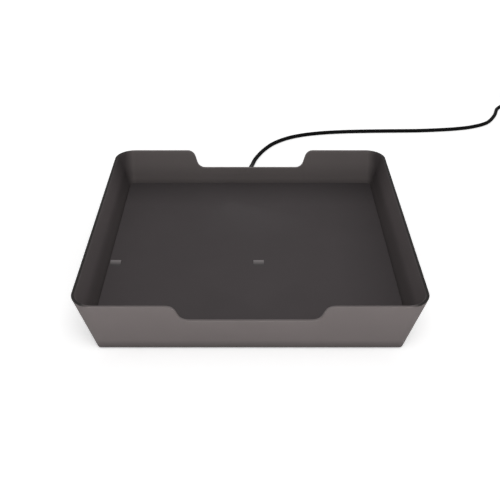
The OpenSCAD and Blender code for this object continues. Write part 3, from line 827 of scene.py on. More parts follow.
class Finishes:
    """Every finish of the box and its cable, built once."""

    def __init__(self) -> None:
        """Build the materials."""
        # Outer walls: painted shade, darker towards the foot of the walls where they meet the floor.
        self.shell = PaintedLightPlastic(
            "shell_plastic", (0.145, 0.1270, 0.1255), roughness=0.55,
            painted_shades=(PaintedShade("Z", 0.0012, 0.0076, 0.56), PaintedShade("Z", 0.0, 0.036, 0.85))).build()
        # The mat's own colour, with painted shade darker towards the back wall and the right wall.
        self.mat = PaintedLightPlastic(
            "mat_rubber", (0.0745, 0.0655, 0.0675), roughness=0.72,
            painted_shades=(PaintedShade("Y", 0.0895, 0.0560, 0.7), PaintedShade("X", 0.0895, 0.0560, 0.80))).build()
        # The inside: a darker copy of the shell plastic as painted shade, darker still at the mat's edge, and
        # on the side walls darker towards the floor and the back corners.
        self.inside = PaintedLightPlastic(
            "shell_inside_painted_shade", (0.106, 0.0930, 0.0915), painted_shades=(PaintedShade("Z", 0.0147, 0.0180, 0.74),),
            shaded_side_colour=(0.091, 0.0780, 0.0790),
            side_painted_shades=(PaintedShade("Z", 0.0148, 0.0280, 0.42), PaintedShade("Y", 0.088, 0.036, 0.5))).build()
        # The rim: a lighter copy of the shell plastic at front and back as a painted highlight, and a nearly
        # black one at the sides as painted shade.
        self.rim = PaintedLightPlastic(
            "shell_rim_painted_light", (0.190, 0.168, 0.166), shaded_side_colour=(0.022, 0.0200, 0.0195),
            side_span=(0.0880, 0.0930)).build()
        # The nubs: a light colour standing in for a painted highlight on their crests, darker towards the
        # front.
        self.nub = PaintedLightPlastic(
            "nub_painted_highlight", (0.295, 0.272, 0.274), painted_shades=(PaintedShade("Y", -0.0228, -0.0184, 0.25),)).build()
        self.cover = MouldedPlastic(
            "cover_plastic", (0.045, 0.042, 0.042), grain=Noise(2000.0, 3.0, 0.6), depth=0.00005,
            roughness=0.6).build()
        self.foot = SoftRubber("foot_rubber", (0.02, 0.02, 0.02)).build()
        self.carrier = MouldedPlastic(
            "carrier_nylon", (0.62, 0.60, 0.55), grain=Noise(1200.0, 3.0, 0.6), depth=0.00002,
            roughness=0.5).build()
        self.screw = PlatedMetal(
            "screw_steel", (0.42, 0.42, 0.43), grain=Noise(1.0, stretch=(3000.0, 3000.0, 3000.0)),
            roughness=0.32).build()
        self.spreader = PlatedMetal(
            "spreader_aluminium", (0.62, 0.63, 0.64), grain=Noise(1.0, stretch=(9000.0, 300.0, 9000.0)),
            roughness=0.35).build()
        self.ferrite = FiredCeramic("ferrite_sheet", (0.03, 0.03, 0.034), roughness=0.5).build()
        self.litz = LitzCopper("litz_copper", (0.55, 0.22, 0.09)).build()
        self.board = SolderMask("board_lacquer", (0.010, 0.075, 0.032), (0.02, 0.14, 0.055)).build()
        self.chip = MouldedPlastic(
            "chip_package", (0.012, 0.012, 0.013), grain=Noise(9000.0, 3.0, 0.6), depth=0.000008,
            roughness=0.6).build()
        self.capacitor = FiredCeramic("capacitor_body", (0.45, 0.34, 0.2), roughness=0.35).build()
        self.inductor = FiredCeramic("inductor_powder", (0.07, 0.07, 0.075), roughness=0.6).build()
        self.nickel = PlatedMetal("nickel_sheet", (0.58, 0.57, 0.55), roughness=0.26).build()
        self.gold = PlatedMetal("contact_gold", (0.83, 0.58, 0.23), roughness=0.25).build()
        self.tongue = MouldedPlastic("tongue_plastic", (0.02, 0.02, 0.02), roughness=0.4).build()
        self.jacket = CordJacket("cord_jacket", (0.003, 0.003, 0.003)).build()
        self.plug = MouldedPlastic(
            "plug_moulding", (0.012, 0.012, 0.0125), grain=Noise(3500.0, 3.0, 0.6), depth=0.00002,
            roughness=0.45).build()
        self.strap = WovenStrap("tie_strap", (0.022, 0.022, 0.023)).build()
        self.insert = MouldedPlastic("insert_plastic", (0.78, 0.77, 0.74), roughness=0.4).build()


def dress(piece: Piece, material: bpy.types.Material) -> None:
    """Give a piece one material, in its first slot."""
    piece.data.materials.clear()
    piece.data.materials.append(material)


def finished(piece: Piece, body: str, slot: str | None, *nodes: str) -> Piece:
    """Set a finished piece into the frame and report it.

    Args:
        piece: The object, at the origin with its place in its mesh.
        body: The body that it rides on.
        slot: The record's material slot, if it has one; not used.
        *nodes: The nodes that it stands for.

    Returns:
        The same object.
    """
    Bench.clear()
    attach(piece, body)
    if nodes:
        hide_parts(*nodes)
    log.info("%s: %d faces, on %s%s", piece.name, len(getattr(piece.data, "polygons", ())), body,
             ", for " + ", ".join(nodes) if nodes else "")
    return piece


@dataclass
class Flare:
    """How the tray widens from its lower edge to its rim.

    Attributes:
        corner: Distance of the upright corner axes from the middle, each way.
        edge_z: Height of the shell's lower edge.
        rim_z: Height of the rim.
        edge_radius: Corner radius at the lower edge.
        rim_radius: Corner radius at the rim.
        wall: Thickness of the wall, measured level.
        steps: Number of steps in a rounded corner.
    """

    corner: float = 0.0862
    edge_z: float = 0.0008
    rim_z: float = 0.0378
    edge_radius: float = 0.0025
    rim_radius: float = 0.0138
    wall: float = 0.0018821
    steps: int = 14

    @property
    def slope(self) -> float:
        """How far the wall leans out for each metre of height."""
        return (self.rim_radius - self.edge_radius) / (self.rim_z - self.edge_z)

    def radius(self, z: float) -> float:
        """The outside's corner radius at a height."""
        return self.edge_radius + self.slope * (z - self.edge_z)

    def depth_in_wall(self, point: Vector) -> float:
        """How far a point lies inside the outer surface, measured level."""
        reach = math.hypot(max(abs(point.x) - self.corner, 0.0), max(abs(point.y) - self.corner, 0.0))
        return self.radius(point.z) - reach

    def plate(self, name: str, z: float, radius: float) -> Piece:
        """Start a piece as a flat plate with rounded corners, still in edit mode and selected.

        Args:
            name: The piece's name.
            z: The plate's height.
            radius: Its corner radius.

        Returns:
            The new object.
        """
        Bench.clear()
        bpy.ops.mesh.primitive_plane_add(size=2 * (self.corner + radius), location=(0.0, 0.0, z))
        piece = Bench.start(name)
        Bench.edit(everything=True)
        Bench.bevel(radius, self.steps, vertices=True)
        bpy.ops.mesh.select_all(action="SELECT")
        return piece

    def spread(self, ratio: float) -> None:
        """Widen the selected rounded outline, each quarter about its own corner axis.

        Args:
            ratio: New corner radius over the old one.
        """
        mesh = bmesh.from_edit_mesh(bpy.context.object.data)
        chosen = [(vertex.index, vertex.co.x > 0, vertex.co.y > 0) for vertex in mesh.verts if vertex.select]
        bpy.ops.mesh.select_mode(type="VERT")
        for right in (False, True):
            for back in (False, True):
                Bench.choose(index for index, *quarter in chosen if quarter == [right, back])
                middle = (self.corner if right else -self.corner, self.corner if back else -self.corner, 0.0)
                Bench.grow((ratio, ratio, 1.0), middle)
        Bench.choose(index for index, *_ in chosen)

    def slab(self, name: str, low: float, high: float, inset: float) -> Piece:
        """Make a slab between two heights that leans as the walls do, drawn in by an inset.

        Args:
            name: The piece's name.
            low: Height of its lower face.
            high: Height of its upper face.
            inset: How far it lies inside the outer surface, measured level.

        Returns:
            The new object, in object mode.
        """
        piece = self.plate(name, low, self.radius(low) - inset)
        Bench.extrude((0.0, 0.0, high - low))
        self.spread((self.radius(high) - inset) / (self.radius(low) - inset))
        Bench.face_out()
        Bench.clear()
        return piece


@dataclass
class Notch:
    """The finger notches in the front and back walls.

    Attributes:
        half: Half of their width at the rim.
        depth: Their depth.
        angle: Slope of their ends, in degrees.
        radius: Radius of the bends.
        steps: Steps in each bend.
    """

    half: float = 0.0426
    depth: float = 0.0122
    angle: float = 72.0
    radius: float = 0.006
    steps: int = 7

    def columns(self) -> list[Pair]:
        """Where the outline bends, on its right side.

        Returns:
            For each column, from the rim inwards, its distance from the middle and the rim's drop there.
        """
        angle, radius = math.radians(self.angle), self.radius
        tangent = radius * math.tan(angle / 2)
        outer = self.half + tangent
        inner = self.half - self.depth / math.tan(angle) - tangent
        turns = [angle * step / self.steps for step in range(self.steps + 1)]
        upper = [(outer - radius * math.sin(turn), radius * (1 - math.cos(turn))) for turn in turns]
        lower = [(inner + radius * math.sin(turn), self.depth - radius * (1 - math.cos(turn)))
                 for turn in reversed(turns)]
        return upper + lower


@dataclass
class Inlet:
    """The opening for the plug in the back wall, the well that it ends in and the tab over the socket.

    Attributes:
        half: Half the opening's width.
        top_z: Height of its upper edge.
        radius: Radius of its upper corners.
        rounding_steps: Steps in these.
        wall_y: Where it begins in the wall, front to back.
        past: The plane behind the wall and below the box that it runs out to.
        well_half: Half the well's width.
        well_front_y: Where the well begins.
        well_back_y: Where it ends.
        overrun: How far the opening runs past the well's front.
        tab_half: Half the tab's width.
        tab_span: Where the tab begins and ends, front to back.
        tab_low_z: Height of its lower face.
        tab_edge: Rounding of its lower edges.
    """

    half: float = 0.0073
    top_z: float = 0.0103
    radius: float = 0.0024
    rounding_steps: int = 8
    wall_y: float = 0.0851
    past: Pair = (0.101, -0.0002)
    well_half: float = 0.0087
    well_front_y: float = 0.08329
    well_back_y: float = 0.0888
    overrun: float = 0.001
    tab_half: float = 0.00447
    tab_span: Pair = (0.08359, 0.08509)
    tab_low_z: float = 0.00878
    tab_edge: float = 0.0002

    def cutter(self, front: float) -> Piece:
        """Model the solid that opens the inlet.

        Args:
            front: Where it begins, front to back.

        Returns:
            The new object.
        """
        back, low = self.past
        cutter = Bench.block("inlet_cutter", (-self.half, front, low), (self.half, back, self.top_z))
        Bench.round_edges((both(flat(Z, self.top_z), runs(Y)), self.radius, self.rounding_steps))
        return cutter

    def well(self, low: float, top: float) -> list[Piece]:
        """Model the well and the tab.

        Args:
            low: Height of the well's lower face.
            top: Height that both reach up to, inside the floor.

        Returns:
            The new objects.
        """
        well = Bench.block("well", (-self.well_half, self.well_front_y, low),
                           (self.well_half, self.well_back_y, top))
        Bench.carve(well, self.cutter(self.well_front_y - self.overrun))
        front, back = self.tab_span
        tab = Bench.block("tab", (-self.tab_half, front, self.tab_low_z), (self.tab_half, back, top))
        Bench.round_edges((flat(Z, self.tab_low_z), self.tab_edge, 2))
        return [well, tab]


@dataclass
class Underside:
    """What the shell carries below: floor, screw bosses, ribs and the inlet's well.

    Attributes:
        flare: The walls' shape.
        inlet: The inlet.
        under_z: Height of the floor's lower face.
        floor_z: Height of the floor's upper face.
        sunk: How far bosses, ribs and well reach into the floor.
        cover_boss: Radius of the cover's bosses and of their holes.
        small_boss: Radius of the other bosses and of their holes.
        hole_share: How deep a hole is, as a share of the boss.
        boss_place: Distance of the corner bosses from the middle, each way.
        cover_top_z: Height of the base cover's upper face.
        ear_top_z: Height of the coil carrier's ears' upper face.
        ears: Distance of the ears from the charging place's middle, left to right and front to back.
        board_top_z: Height of the circuit board's upper face.
        post: Place of the board's first post.
        posts: Distance to the others, left to right and front to back.
        rib_depth: Depth of the ribs.
        rib_half: Half their thickness.
        rib_reach: How far they reach from the middle.
        rib_back_y: Where those end that stop short of the circuit board.
        rib_front_y: Where the rib in front of the coil carrier runs.
        draft: Thickness of a rib's free edge, as a share of its root.
    """

    flare: Flare
    inlet: Inlet
    under_z: float = 0.0118
    floor_z: float = 0.0136
    sunk: float = 0.0009
    cover_boss: Pair = (0.0035, 0.00155)
    small_boss: Pair = (0.0025, 0.00105)
    hole_share: float = 0.9
    boss_place: float = 0.07582
    cover_top_z: float = 0.0036
    ear_top_z: float = 0.0086
    ears: Pair = (0.017, 0.0313)
    board_top_z: float = 0.00983
    post: Pair = (-0.0335, 0.05339)
    posts: Pair = (0.055, 0.026)
    rib_depth: float = 0.004
    rib_half: float = 0.0006
    rib_reach: float = 0.0895
    rib_back_y: float = 0.0496
    rib_front_y: float = -0.0393
    draft: float = 0.8

    def boss(self, x: float, y: float, low: float, radii: Pair) -> Piece:
        """Model a screw boss under the floor, with its pilot hole.

        Args:
            x: Its place, left to right.
            y: Its place, front to back.
            low: Height of its lower face.
            radii: Its radius and that of the hole.

        Returns:
            The new object.
        """
        radius, bore = radii
        top = self.under_z + self.sunk
        piece = Bench.turned("boss", (x, y, top), DOWN, [(0.0, radius), (top - low, radius)], 32)
        Bench.edit()
        Bench.pick(Pick.FACES, flat(Z, low))
        bpy.ops.mesh.inset(thickness=radius - bore)
        Bench.extrude((0.0, 0.0, (self.under_z - low) * self.hole_share))
        Bench.clear()
        return piece

    def rib(self, x: Pair, y: Pair) -> Piece:
        """Model a stiffening rib with a little draft towards its free edge.

        Args:
            x: Where it begins and ends, left to right.
            y: Where it begins and ends, front to back.

        Returns:
            The new object.
        """
        low = self.under_z - self.rib_depth
        piece = Bench.block("rib", (x[0], y[0], low), (x[1], y[1], self.under_z + self.sunk))
        lengthways = x[1] - x[0] < y[1] - y[0]
        Bench.edit()
        Bench.pick(Pick.FACES, flat(Z, low))
        factors = (self.draft, 1.0, 1.0) if lengthways else (1.0, self.draft, 1.0)
        Bench.grow(factors, (sum(x) / 2, sum(y) / 2, low))
        Bench.clear()
        return piece

    def build(self, spot_x: float) -> Piece:
        """Model the whole of it.

        Args:
            spot_x: Middle of the charging place, left to right.

        Returns:
            The new object.
        """
        place, half, reach = self.boss_place, self.rib_half, self.rib_reach
        made = [self.flare.slab("floor", self.under_z, self.floor_z, self.flare.wall / 2)]
        made += Bench.copies(self.boss(place, place, self.cover_top_z, self.cover_boss), [
            ((x - 1) * place, (y - 1) * place, 0.0)
            for x, y in ((-1, 1), (-1, 0), (-1, -1), (0, -1), (1, -1), (1, 0))])
        aside, back = self.ears
        ear = self.boss(spot_x - aside, -back, self.ear_top_z, self.small_boss)
        made += Bench.four(ear, 2 * aside, 2 * back)
        made += Bench.four(self.boss(*self.post, self.board_top_z, self.small_boss), *self.posts)
        short = self.rib_back_y
        for x, end in ((-place, reach), (place, reach), (place / 4, short), (place * 3 / 4, short)):
            made.append(self.rib((x - half, x + half), (-reach, end)))
        for y in (-place, self.rib_front_y):
            made.append(self.rib((-reach, reach), (y - half, y + half)))
        made += self.inlet.well(self.cover_top_z, self.under_z + self.sunk)
        return Bench.join(made, "underside")


@dataclass
class Shell:
    """The tray's shell: its leaning walls with the notches, and what it carries below.

    Attributes:
        flare: The walls' shape.
        notch: The finger notches.
        inlet: The inlet.
        rim_edge: Rounding of the rim.
        lower_edge: Rounding of the lower edge.
        along: An edge whose ends differ by less in their depth in the wall runs along the rim.
        skin: The outside finish reaches this far into the wall, and the rim's begins there.
        lining: Where the rim's finish ends and the inside's begins.
        facing: A face whose normal points further down than this keeps the outer finish.
        outside: A point of the lower edge less deep in the wall than this is on its outer side.
    """

    flare: Flare
    notch: Notch
    inlet: Inlet
    rim_edge: float = 0.0003
    lower_edge: float = 0.0002
    along: float = 0.0006
    skin: float = 0.00003
    lining: float = 0.0017
    facing: float = -0.5
    outside: float = 0.0003

    def walls(self) -> Piece:
        """Model the leaning walls with their notches and rounded rims.

        Returns:
            The new object.
        """
        flare = self.flare
        height, wall = flare.rim_z - flare.edge_z, flare.wall
        piece = flare.plate("tray_shell_moulding", flare.edge_z, flare.edge_radius)
        bpy.ops.mesh.delete(type="ONLY_FACE")
        bpy.ops.mesh.select_all(action="SELECT")
        for rise, ratio in ((height, flare.rim_radius / flare.edge_radius),
                            (0.0, (flare.rim_radius - wall) / flare.rim_radius),
                            (-height, (flare.edge_radius - wall) / (flare.rim_radius - wall))):
            Bench.extrude((0.0, 0.0, rise))
            flare.spread(ratio)
        Bench.pick(Pick.EDGES, flat(Z, flare.edge_z))
        bpy.ops.mesh.bridge_edge_loops()
        columns = [(side * place, drop) for place, drop in self.notch.columns() for side in (-1, 1)]
        Bench.bisect(X, *(place for place, _ in columns))
        for place, drop in columns:
            self.lower(place, drop)
        Bench.face_out()
        Bench.round_edges((self.on_rim, self.rim_edge, 3), (self.on_lower_edge, self.lower_edge, 2))
        return piece

    def lower(self, place: float, drop: float) -> None:
        """Lower one column of the rim, along the lean of the front and back walls.

        Args:
            place: The column's place, left to right.
            drop: How far it goes down.
        """
        column = both(flat(X, place), flat(Z, self.flare.rim_z))
        for back in (-1, 1):
            Bench.pick(Pick.VERTICES, both(column, lambda at: at[0].y * back > 0))
            Bench.move((0.0, -back * drop * self.flare.slope, -drop))

    def on_rim(self, ends: list[Vector]) -> bool:
        """Whether an edge runs along the rim and doesn't cross it."""
        outer, inner = (self.flare.depth_in_wall(end) for end in ends)
        return min(end.z for end in ends) > self.flare.rim_z / 2 and abs(outer - inner) < self.along

    def on_lower_edge(self, ends: list[Vector]) -> bool:
        """Whether an edge runs along the outside of the lower edge."""
        return flat(Z, self.flare.edge_z)(ends) and all(
            self.flare.depth_in_wall(end) < self.outside for end in ends)

    def build(self, finishes: Finishes, below: Piece) -> Piece:
        """Model and dress the whole shell.

        Args:
            finishes: The finishes to dress it with.
            below: What it carries below.

        Returns:
            The finished piece.
        """
        walls = self.walls()
        Bench.carve(walls, self.inlet.cutter(self.inlet.wall_y))
        for piece in (below, walls):
            dress(piece, finishes.shell)
        # The inside and the rim take copies of the shell plastic with painted light: the inside darker as
        # painted shade, the rim lighter at front and back as a painted highlight and nearly black at the
        # sides as painted shade.
        for material in (finishes.inside, finishes.rim):
            walls.data.materials.append(material)
        for face in walls.data.polygons:
            depth = self.flare.depth_in_wall(face.center)
            if face.normal.z > self.facing and depth > self.skin:
                face.material_index = 1 if depth > self.lining else 2
        piece = Bench.join([walls, below], "tray_shell_moulding")
        Bench.smooth(piece)
        return finished(piece, "box", "shell_plastic", "tray_shell")


@dataclass
class Mat:
    """The mat on the tray's floor, with its two position nubs.

    Attributes:
        flare: The walls' shape.
        low_z: Height of its lower face.
        top_z: Height of its upper face.
        gap: Gap between mat and wall.
        edge: Rounding of its upper edge.
        spot_x: Middle of the charging place, left to right.
        nub_size: Length, width and height of a nub.
        nub_half_gap: Distance of each nub's middle from the charging place's middle.
        nub_y: Middle of the nubs, front to back.
        nub_crest: Distance from a nub's crest to its rear face.
        nub_edge: Rounding of a nub's edges.
        sunk: How far a nub reaches down into the mat.
    """

    flare: Flare
    low_z: float = 0.0136
    top_z: float = 0.0148
    gap: float = 0.0003
    edge: float = 0.00035
    spot_x: float = -0.0406
    nub_size: Place = (0.0068, 0.0062, 0.0009)
    nub_half_gap: float = 0.046
    nub_y: float = -0.0208
    nub_crest: float = 0.0008
    nub_edge: float = 0.00022
    sunk: float = 0.0006

    def nub(self, side: int) -> Piece:
        """Model one position nub: a low ridge that rises gently from the front to its crest.

        Args:
            side: -1 for the left nub and 1 for the right one.

        Returns:
            The new object.
        """
        length, width, height = self.nub_size
        middle = self.spot_x + side * self.nub_half_gap
        front, back = self.nub_y - width / 2, self.nub_y + width / 2
        crest_y, crest_z = back - self.nub_crest, self.top_z + height
        piece = Bench.block("nub", (middle - length / 2, front, self.top_z - self.sunk),
                            (middle + length / 2, back, crest_z))
        Bench.edit()
        Bench.bisect(Y, crest_y)
        Bench.pick(Pick.VERTICES, both(flat(Z, crest_z), lambda at: not flat(Y, crest_y)(at)))
        Bench.move((0.0, 0.0, -height))
        Bench.round_edges((lambda ends: min(end.z for end in ends) > self.top_z - TOUCH
                           and not flat(Z, self.top_z)(ends), self.nub_edge, 3))
        return piece

    def build(self, finishes: Finishes) -> Piece:
        """Model and dress the mat with its two nubs.

        Args:
            finishes: The finishes to dress it with.

        Returns:
            The finished piece.
        """
        slab = self.flare.slab("floor_mat", self.low_z, self.top_z, self.flare.wall + self.gap)
        Bench.round_edges((flat(Z, self.top_z), self.edge, 3))
        nubs = Bench.join([self.nub(-1), self.nub(1)], "nubs")
        # The nubs take a light colour whose bright crest is a painted highlight; the mat has painted shade
        # towards the back and right walls.
        dress(nubs, finishes.nub)
        dress(slab, finishes.mat)
        piece = Bench.join([slab, nubs], "floor_mat")
        Bench.smooth(piece)
        return finished(piece, "box", "mat_rubber", "tray_mat")


@dataclass
class Feet:
    """The rubber feet under the box.

    Attributes:
        places: Distance of the feet from the middle, left to right and front to back.
        radius: A foot's radius.
        top_z: Height of its upper face.
        edge: Rounding of its sole.
        edge_share: How far in from the corner the rounding's middle lies, as a share of it.
        ring: Outer and inner radius of the ring pressed into the sole.
        ring_depth: Depth of the ring.
        ring_slope: Width of its slanting sides.
    """

    places: Pair = (0.05982, 0.07582)
    radius: float = 0.007
    top_z: float = 0.002
    edge: float = 0.0004
    edge_share: float = 0.3
    ring: Pair = (0.0052, 0.0042)
    ring_depth: float = 0.0003
    ring_slope: float = 0.0002

    def build(self, finishes: Finishes) -> Piece:
        """Model one foot with a ring pressed into its sole, copy it and dress the four.

        Args:
            finishes: The finishes to dress them with.

        Returns:
            The finished piece.
        """
        x, y = self.places
        sole, radius, edge, slope = self.top_z, self.radius, self.edge, self.ring_slope
        corner, bottom = edge * self.edge_share, sole - self.ring_depth
        outer, inner = self.ring
        foot = Bench.turned("foot_pads", (x, y, self.top_z), DOWN, [
            (0.0, radius), (sole - edge, radius), (sole - corner, radius - corner), (sole, radius - edge),
            (sole, outer), (bottom, outer - slope), (bottom, inner + slope), (sole, inner)], 56)
        piece = Bench.join(Bench.four(foot, -2 * x, -2 * y), "foot_pads")
        Bench.smooth(piece)
        dress(piece, finishes.foot)
        return finished(piece, "box", "foot_rubber", "rubber_feet")


@dataclass
class Plug:
    """A plug's moulded grip with its strain relief, along the Y axis.

    Attributes:
        name: The piece's name.
        node: The node that it stands for.
        face: Middle of the face that the strain relief grows from.
        size: The grip's width, length and height.
        corner: Radius of its long edges.
        end_edge: Rounding of its ends.
        grooves: Number of grooves between the finger ribs.
        groove_start: How far from the face they begin, as a share of the length.
        groove_pitch: Distance from one groove to the next.
        groove_width: Their width.
        groove_depth: Their depth.
        groove_edge: Width of their slanting sides.
        groove_side: A face at the side that is lower than this has none.
        relief_length: Length of the strain relief.
        relief_radii: Its radius at the grip and at its end.
        relief_sunk: How far it reaches into the grip.
        relief_groove: Half of a groove's width in it, at its floor and at its mouth.
        relief_edge: Depth of these grooves.
        relief_end: Rounding of its end, along it and across.
    """

    name: str
    node: str
    face: Place
    size: Place
    corner: float
    end_edge: float = 0.00045
    grooves: int = 6
    groove_start: float = 0.72
    groove_pitch: float = 0.0013
    groove_width: float = 0.0006
    groove_depth: float = 0.00022
    groove_edge: float = 0.00008
    groove_side: float = 0.0003
    relief_length: float = 0.0117
    relief_radii: Pair = (0.0025, 0.00195)
    relief_sunk: float = 0.0006
    relief_groove: Pair = (0.0006, 0.0008)
    relief_edge: float = 0.0003
    relief_end: Pair = (0.0003, 0.0002)

    @property
    def first_groove(self) -> float:
        """Where the first groove begins."""
        return self.face[Y] - self.size[Y] * self.groove_start

    def grip(self) -> Piece:
        """Model the grip with rounded long edges, soft ends and finger ribs at its sides.

        Returns:
            The new object.
        """
        x, y, z = self.face
        width, length, height = self.size
        piece = Bench.block(self.name, (x - width / 2, y - length, z - height / 2),
                            (x + width / 2, y, z + height / 2))
        Bench.edit()
        Bench.pick(Pick.EDGES, runs(Y, length / 2))
        Bench.bevel(self.corner, 7)
        Bench.bisect(Y, *(self.first_groove + step * self.groove_pitch + side
                          for step in range(self.grooves) for side in (0.0, self.groove_width)))
        Bench.pick(Pick.FACES, self.in_groove)
        bpy.ops.mesh.inset(thickness=self.groove_edge, depth=-self.groove_depth)
        Bench.round_edges((flat(Y, y), self.end_edge, 3), (flat(Y, y - length), self.end_edge, 3))
        return piece

    def in_groove(self, corners: list[Vector]) -> bool:
        """Whether a face lies at the grip's side, between two cuts of the finger ribs.

        Args:
            corners: The face's corners.

        Returns:
            Whether it does.
        """
        x, half = self.face[X], self.size[X] / 2
        middle = sum(corner.y for corner in corners) / len(corners)
        step, rest = divmod(middle - self.first_groove, self.groove_pitch)
        heights = [corner.z for corner in corners]
        at_side = flat(X, x - half)(corners) or flat(X, x + half)(corners)
        return (at_side and 0 <= step < self.grooves and rest < self.groove_width
                and max(heights) - min(heights) > self.groove_side)

    def relief(self) -> Piece:
        """Model the tapered strain relief with its grooves.

        Returns:
            The new object.
        """
        (x, y, z), (thick, thin), length = self.face, self.relief_radii, self.relief_length
        floor, mouth = self.relief_groove
        profile = [(-self.relief_sunk, thick), (0.0, thick)]
        for share in (0.25, 0.5, 0.75):
            at, radius = length * share, thick - (thick - thin) * share
            deep = radius - self.relief_edge
            profile += [(at - mouth, radius), (at - floor, deep), (at + floor, deep), (at + mouth, radius)]
        profile += [(length - self.relief_end[0], thin), (length, thin - self.relief_end[1])]
        return Bench.turned("relief", (x, y - self.relief_sunk, z), BACKWARDS,
                            [(at + self.relief_sunk, radius) for at, radius in profile])

    def build(self, finishes: Finishes) -> Piece:
        """Model and dress grip and strain relief.

        Args:
            finishes: The finishes to dress them with.

        Returns:
            The finished piece.
        """
        piece = Bench.join([self.grip(), self.relief()], self.name)
        Bench.smooth(piece, degrees=40.0)
        dress(piece, finishes.plug)
        return finished(piece, "cable", "plug_plastic", self.node)


@dataclass
class FarPlugMetal:
    """The far plug's sheet-metal shell with its windows, and the contacts on its block.

    Attributes:
        mouth: Middle of the shell's mouth.
        size: Its width, length and height.
        sheet: Thickness of the sheet.
        corner: Radius of its long edges.
        edge: Width of its softened edges.
        window_x: Where a window begins and ends, from the middle.
        window_y: Where it begins and ends, from the mouth.
        block_top: Height of the contact block's upper face above the shell's middle.
        contact: Lowest corner of the first contact from the mouth's middle, at the block's upper face.
        contact_size: A contact's width, length and height.
        contact_steps: How far the others lie to the right of the first.
        contact_edge: Rounding of a contact's upper edges.
    """

    mouth: Place = (0.29475, 0.2183, 0.004)
    size: Place = (0.012, 0.012, 0.0045)
    sheet: float = 0.0003
    corner: float = 0.0006
    edge: float = 0.00006
    window_x: Pair = (0.0014, 0.0037)
    window_y: Pair = (0.0056, 0.0078)
    block_top: float = -0.00005
    contact: Pair = (-0.004, 0.0009)
    contact_size: Place = (0.001, 0.0076, 0.00014)
    contact_steps: Place = (0.002, 0.0045, 0.007)
    contact_edge: float = 0.00008

    def shell(self, finishes: Finishes) -> Piece:
        """Model the folded shell with two windows above and two below.

        Args:
            finishes: The finishes to dress it with.

        Returns:
            The finished piece.
        """
        x, y, z = self.mouth
        width, length, height = self.size
        piece = Bench.sleeve("far_plug_shell", (x - width / 2, y, z - height / 2),
                             (x + width / 2, y + length, z + height / 2), Y, flat(Y, y), (self.corner, 5))
        near, far = self.window_x
        Bench.bisect(X, x - far, x - near, x + near, x + far)
        Bench.bisect(Y, *(y + place for place in self.window_y))
        Bench.pick(Pick.FACES, self.is_window)
        bpy.ops.mesh.delete(type="FACE")
        Bench.thicken(piece, self.sheet, self.edge)
        Bench.smooth(piece)
        dress(piece, finishes.nickel)
        return finished(piece, "cable", "socket_metal", "usb_a_shell")

    def is_window(self, corners: list[Vector]) -> bool:
        """Whether a face of the top or the bottom is one of the windows.

        Args:
            corners: The face's corners.

        Returns:
            Whether it is.
        """
        place = sum(corners, Vector()) / len(corners) - Vector(self.mouth)
        level = all(abs(abs(corner.z - self.mouth[Z]) - self.size[Z] / 2) < TOUCH for corner in corners)
        (near, far), (front, back) = self.window_x, self.window_y
        return level and near < abs(place.x) < far and front < place.y < back

    def contacts(self, finishes: Finishes) -> Piece:
        """Model the four contact strips on the block.

        Args:
            finishes: The finishes to dress them with.

        Returns:
            The finished piece.
        """
        x, y, z = self.mouth
        low = (x + self.contact[0], y + self.contact[1], z + self.block_top)
        high = [a + b for a, b in zip(low, self.contact_size)]
        strip = Bench.block("far_plug_contacts", low, high)
        Bench.round_edges((flat(Z, high[Z]), self.contact_edge, 2))
        strips = Bench.copies(strip, [(step, 0.0, 0.0) for step in self.contact_steps])
        piece = Bench.join(strips, "far_plug_contacts")
        Bench.smooth(piece)
        dress(piece, finishes.gold)
        return finished(piece, "cable", None)


